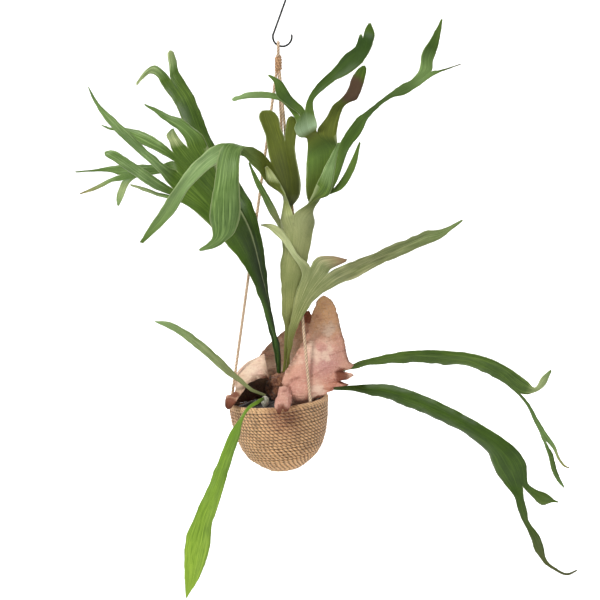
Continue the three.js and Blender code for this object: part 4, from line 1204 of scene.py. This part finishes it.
# the root ball: dark moss, made near-black as painted shade for the hollow inside the basket
moss_points, moss_faces = lathe(
    [(0.2, -101), (30, -98), (52, -78), (62, -52), (66, -30), (67, -16), (65, -12)]
    + [(r, -3 - 8 * (r / 65) ** 2) for r in np.linspace(62, 0.3, 34)], 150)
lumps = 2.2 * wobble(moss_points, 9, 1) + 1.2 * wobble(moss_points, 3.4, 2)
moss_points[:, 2] += np.where(moss_points[:, 2] > -14, lumps, 0)
add_piece("root_ball_moss", "root_ball", tilted(moss_points), moss_faces,
          moss_material("root_ball_moss_and_painted_shade", (10, 6, 4), (28, 16, 10), (64, 42, 26), 60))


def lump(name, node, centre, radii, material, rough, seed, rings=70):
    """A rounded lump with a rough surface."""
    ball = [(math.sin(a), -math.cos(a)) for a in np.linspace(0.03, math.pi - 0.03, rings)]
    points, faces = lathe(ball, rings * 2)
    points = points * radii
    scale = 1 + rough * wobble(points, 6, seed) + 0.6 * rough * wobble(points, 2.4, seed + 1)
    add_piece(name, node, points * scale[:, None] + centre, faces, material)


lump("rhizome_furry", "rhizome", (10, 2, -602), (30, 20, 24),
     moss_material("rhizome_fur_brown", (84, 42, 24), (150, 100, 68), (198, 150, 112), 110), 0.09, 4)
lump("pup_bud", "pup", (-20, -31, -617), (6, 6, 9),
     moss_material("pup_felt_white", (176, 176, 150), (218, 214, 196), (240, 238, 228), 300), 0.06, 7, 30)

# ---- fronds and shields -------------------------------------------------------------
# the plant's colours
DEEP = (42, 68, 12)
DARK = (58, 84, 16)
MOSS = (86, 96, 26)
LEAF = (82, 108, 36)
MID = (104, 132, 68)
SOFT = (136, 164, 102)
PALE = (182, 192, 136)
OLIVE = (112, 118, 48)
KHAKI = (160, 148, 92)
SAGE = (150, 156, 104)
GRASS = (114, 150, 46)
LIME = (150, 182, 60)
MINT = (176, 204, 158)
BRONZE = (88, 86, 52)
TAN = (172, 128, 94)
ROSE = (220, 166, 146)
CREAM = (226, 196, 168)
APRICOT = (234, 180, 138)
UMBER = (96, 54, 34)

leaf_green = leaf_material("frond_green_leathery", 0.8)
leaf_dark = leaf_material("frond_dark_leathery", 0.6, 0.4, 0.45)
leaf_rear = leaf_material("frond_rear_striped", 0.9, 0.42)
leaf_olive = leaf_material("frond_olive_felted", 0.8, 0.5, 0.35, 0.6, ((108, -4, -152), 42))
leaf_young = leaf_material("frond_young_soft", 0.3, 0.45, 0.2)
papery = shield_material()

# each lobe's look: its colour at the base and at the tip, then how much it shows
# its felted underside and how much of it has died back to brown
blade_piece("frond_rear_left", FROND_REAR_LEFT, {
    "stem": (DEEP, LEAF),
    "left finger": (SOFT, PALE, 0.1),
    "right finger": (SOFT, PALE),
}, leaf_rear, seed=2)

blade_piece("frond_left", FROND_LEFT, {
    "stem": (DEEP, LEAF),
    "lowest finger": (SOFT, PALE),
    "lower long finger": (SOFT, MID),
    "upper long finger": (SOFT, MID),
    "middle lobe": (MID, MID),
    "hanging finger": (PALE, SOFT),
    "outer finger": (SOFT, KHAKI, 0, 0.1),
    "rising finger": (MID, LEAF),
    "straight finger": (MID, MID),
    "short finger": (PALE, LEAF),
    "top finger": (MID, MID),
# shade: painted light on the stem's left side and painted shade on its right, near its base
}, leaf_green, seed=3, shade={"stem": (1.7, 0.2)})

blade_piece("frond_center", FROND_CENTER, {
    "stem": (OLIVE, SAGE, 0.1),
    "left flank": (MOSS, MOSS),
    "second finger": (MOSS, MOSS),
    "centre finger": (MOSS, MOSS),
    "arch": (MOSS, MID),
    "wide lobe": (MID, MID),
    "long lobe": (SOFT, LEAF),
    "pale fold": (PALE, OLIVE, 0.4),
    "right flank": (MOSS, LEAF, 0.1),
    "pale blade": (SOFT, MID, 0.3),
    "narrow lobe": (LEAF, LEAF),
    "outer lobe": (DARK, MID),
    "right tine": (LEAF, BRONZE, 0, 0.15),
    "top tine": (DEEP, LEAF),
    "back flank": (DARK, MOSS),
    "brown lobe": (MOSS, DARK),
    "mint curl": (MINT, LEAF, 0.2),
    "long top lobe": (DARK, DEEP),
    "top right tine": (DARK, DARK),
    "top left tine": (LEAF, MID),
    "dark curl": (DEEP, LEAF),
    "side tine": (LEAF, SOFT),
    "thin lobe": (MID, LEAF),
# shade: painted shade on the left flank toward the V at its base, painted light on its outer fold, and a
# milder spread on the back flank
}, leaf_olive, seed=4, shade={"left flank": (0.3, 1.6), "back flank": (0.7, 1.2)})

blade_piece("frond_lower_right", FROND_LOWER_RIGHT, {
    "stem": (OLIVE, SAGE, 0.1),
    "pale ribbon": (PALE, SAGE, 0.3),
    "brown-edged lobe": (PALE, TAN, 0.1, 0.5),
    "main lobe": (SAGE, MID, 0.1, 0.25),
}, leaf_olive, seed=5)

blade_piece("frond_right_upper", FROND_RIGHT_UPPER, {
    "stem": (LEAF, LEAF),
    "finger": (PALE, MID, 0.1),
    "tail": (MID, MID),
    "upper tine": (SOFT, KHAKI),
    "lower tine": (LEAF, MID),
}, leaf_dark, seed=6)

blade_piece("frond_right_lower", FROND_RIGHT_LOWER, {
    "stem": (DARK, DARK),
    "side lobe": (LEAF, LEAF, 0, 0.1),
    "tail": (DARK, BRONZE),
}, leaf_dark, seed=7)

blade_piece("frond_young_up", FROND_YOUNG_UP, {"stem": (SAGE, SOFT)},
            leaf_young, seed=8)
blade_piece("frond_young_down", FROND_YOUNG_DOWN, {"stem": (GRASS, LIME)},
            leaf_young, seed=9, columns=12)

# a tear is its place, half-height and depth, and a bulge is its centre, reach and height, in mm
RIGHT_TEARS = [((96, -22, -570), 3, 15), ((94, -24, -583), 3, 12), ((90, -28, -597), 3, 9),
               ((110, -22, -562), 5, -5), ((104, -24, -577), 5, -7), ((98, -28, -590), 4, -6)]
RIGHT_BULGES = [((30, -42, -603), 17, 7), ((22, -40, -580), 9, -4), ((48, -30, -586), 12, -3),
                ((60, -20, -545), 16, 4), ((78, -12, -520), 12, -3)]
# each shield's node, blade, looks, bulges and tears
SHIELDS = [
    ("shield_frond_right", SHIELD_FROND_RIGHT, {"stem": (ROSE, APRICOT)}, RIGHT_BULGES, RIGHT_TEARS),
    ("shield_frond_front", SHIELD_FROND_FRONT, {
        "stem": (ROSE, ROSE), "right end": (TAN, UMBER, 0, 0.2), "left end": (ROSE, TAN, 0, 0.2)},
     [((10, -66, -597), 7, -3)], ()),
    ("shield_frond_left", SHIELD_FROND_LEFT, {
        "stem": (CREAM, TAN), "curled tip": (TAN, UMBER, 0, 0.5)},
     [((-20, -26, -578), 6, 5), ((-62, -44, -600), 8, 4)], [((-40, -34, -588), 5, 3)]),
    ("shield_frond_back", SHIELD_FROND_BACK, {"stem": (CREAM, TAN, 0, 0.1)}, (), ()),
]
for seed, (node, blade, looks, bulges, tears) in enumerate(SHIELDS, 20):
    blade_piece(node, blade, looks, papery, thickness=1.5, columns=24, row_length=2,
                ruffle=1.8, ragged=1.5, seed=seed, bulges=bulges, tears=tears)

# ---- floor and light ---------------------------------------------------------------
floor_shader = Shader("floor_pale", 0.9)
floor_tone = floor_shader.noise(floor_shader.place(), 0.6, 2)
floor_shader.colour(floor_shader.mix(floor_tone, (0.9, 0.9, 0.9), (0.94, 0.94, 0.94)))
# a floor that bends up into a backdrop, in mm
FLOOR_LEVEL = -1500
BACKDROP_AT = 8000
FLOOR_REACH = 9000
BACKDROP_BEND = 1500
sweep = [(-FLOOR_REACH, FLOOR_LEVEL), (BACKDROP_AT, FLOOR_LEVEL)]
sweep += [(BACKDROP_AT + BACKDROP_BEND * math.sin(a), -BACKDROP_BEND * math.cos(a))
          for a in np.linspace(0.1, math.pi / 2, 14)]
sweep += [(BACKDROP_AT + BACKDROP_BEND, FLOOR_REACH)]
floor_points = [(x, y, z) for y, z in sweep for x in (-FLOOR_REACH, FLOOR_REACH)]
floor_faces = [(2 * i, 2 * i + 1, 2 * i + 3, 2 * i + 2) for i in range(len(sweep) - 1)]
floor = make_piece("floor", floor_points, floor_faces, floor_shader.material)

world = bpy.data.worlds.new("studio")
world.use_nodes = True
sky = world.node_tree.nodes["Background"]
sky.inputs["Color"].default_value = (1, 1, 1, 1)
sky.inputs["Strength"].default_value = 0.34
bpy.context.scene.world = world


def area_light(name, place, power, size, aim=AIM):
    """A round soft light, in metres and watts, that faces aim."""
    light = bpy.data.lights.new(name, "AREA")
    light.shape = "DISK"
    light.size = size
    light.energy = power
    lamp = bpy.data.objects.new(name, light)
    lamp.location = place
    lamp.rotation_euler = (Vector(place) - Vector(aim)).to_track_quat("Z", "Y").to_euler()
    bpy.context.scene.collection.objects.link(lamp)


area_light("key_light", (-1.6, -1.9, 2.0), 88, 0.8)
area_light("fill_light", (1.2, -2.4, -0.9), 16, 1.8)
area_light("backdrop_light", (0, 3.6, 3.6), 620, 4.0, (0, 7.2, -1.2))
bpy.context.scene.view_settings.view_transform = "Standard"
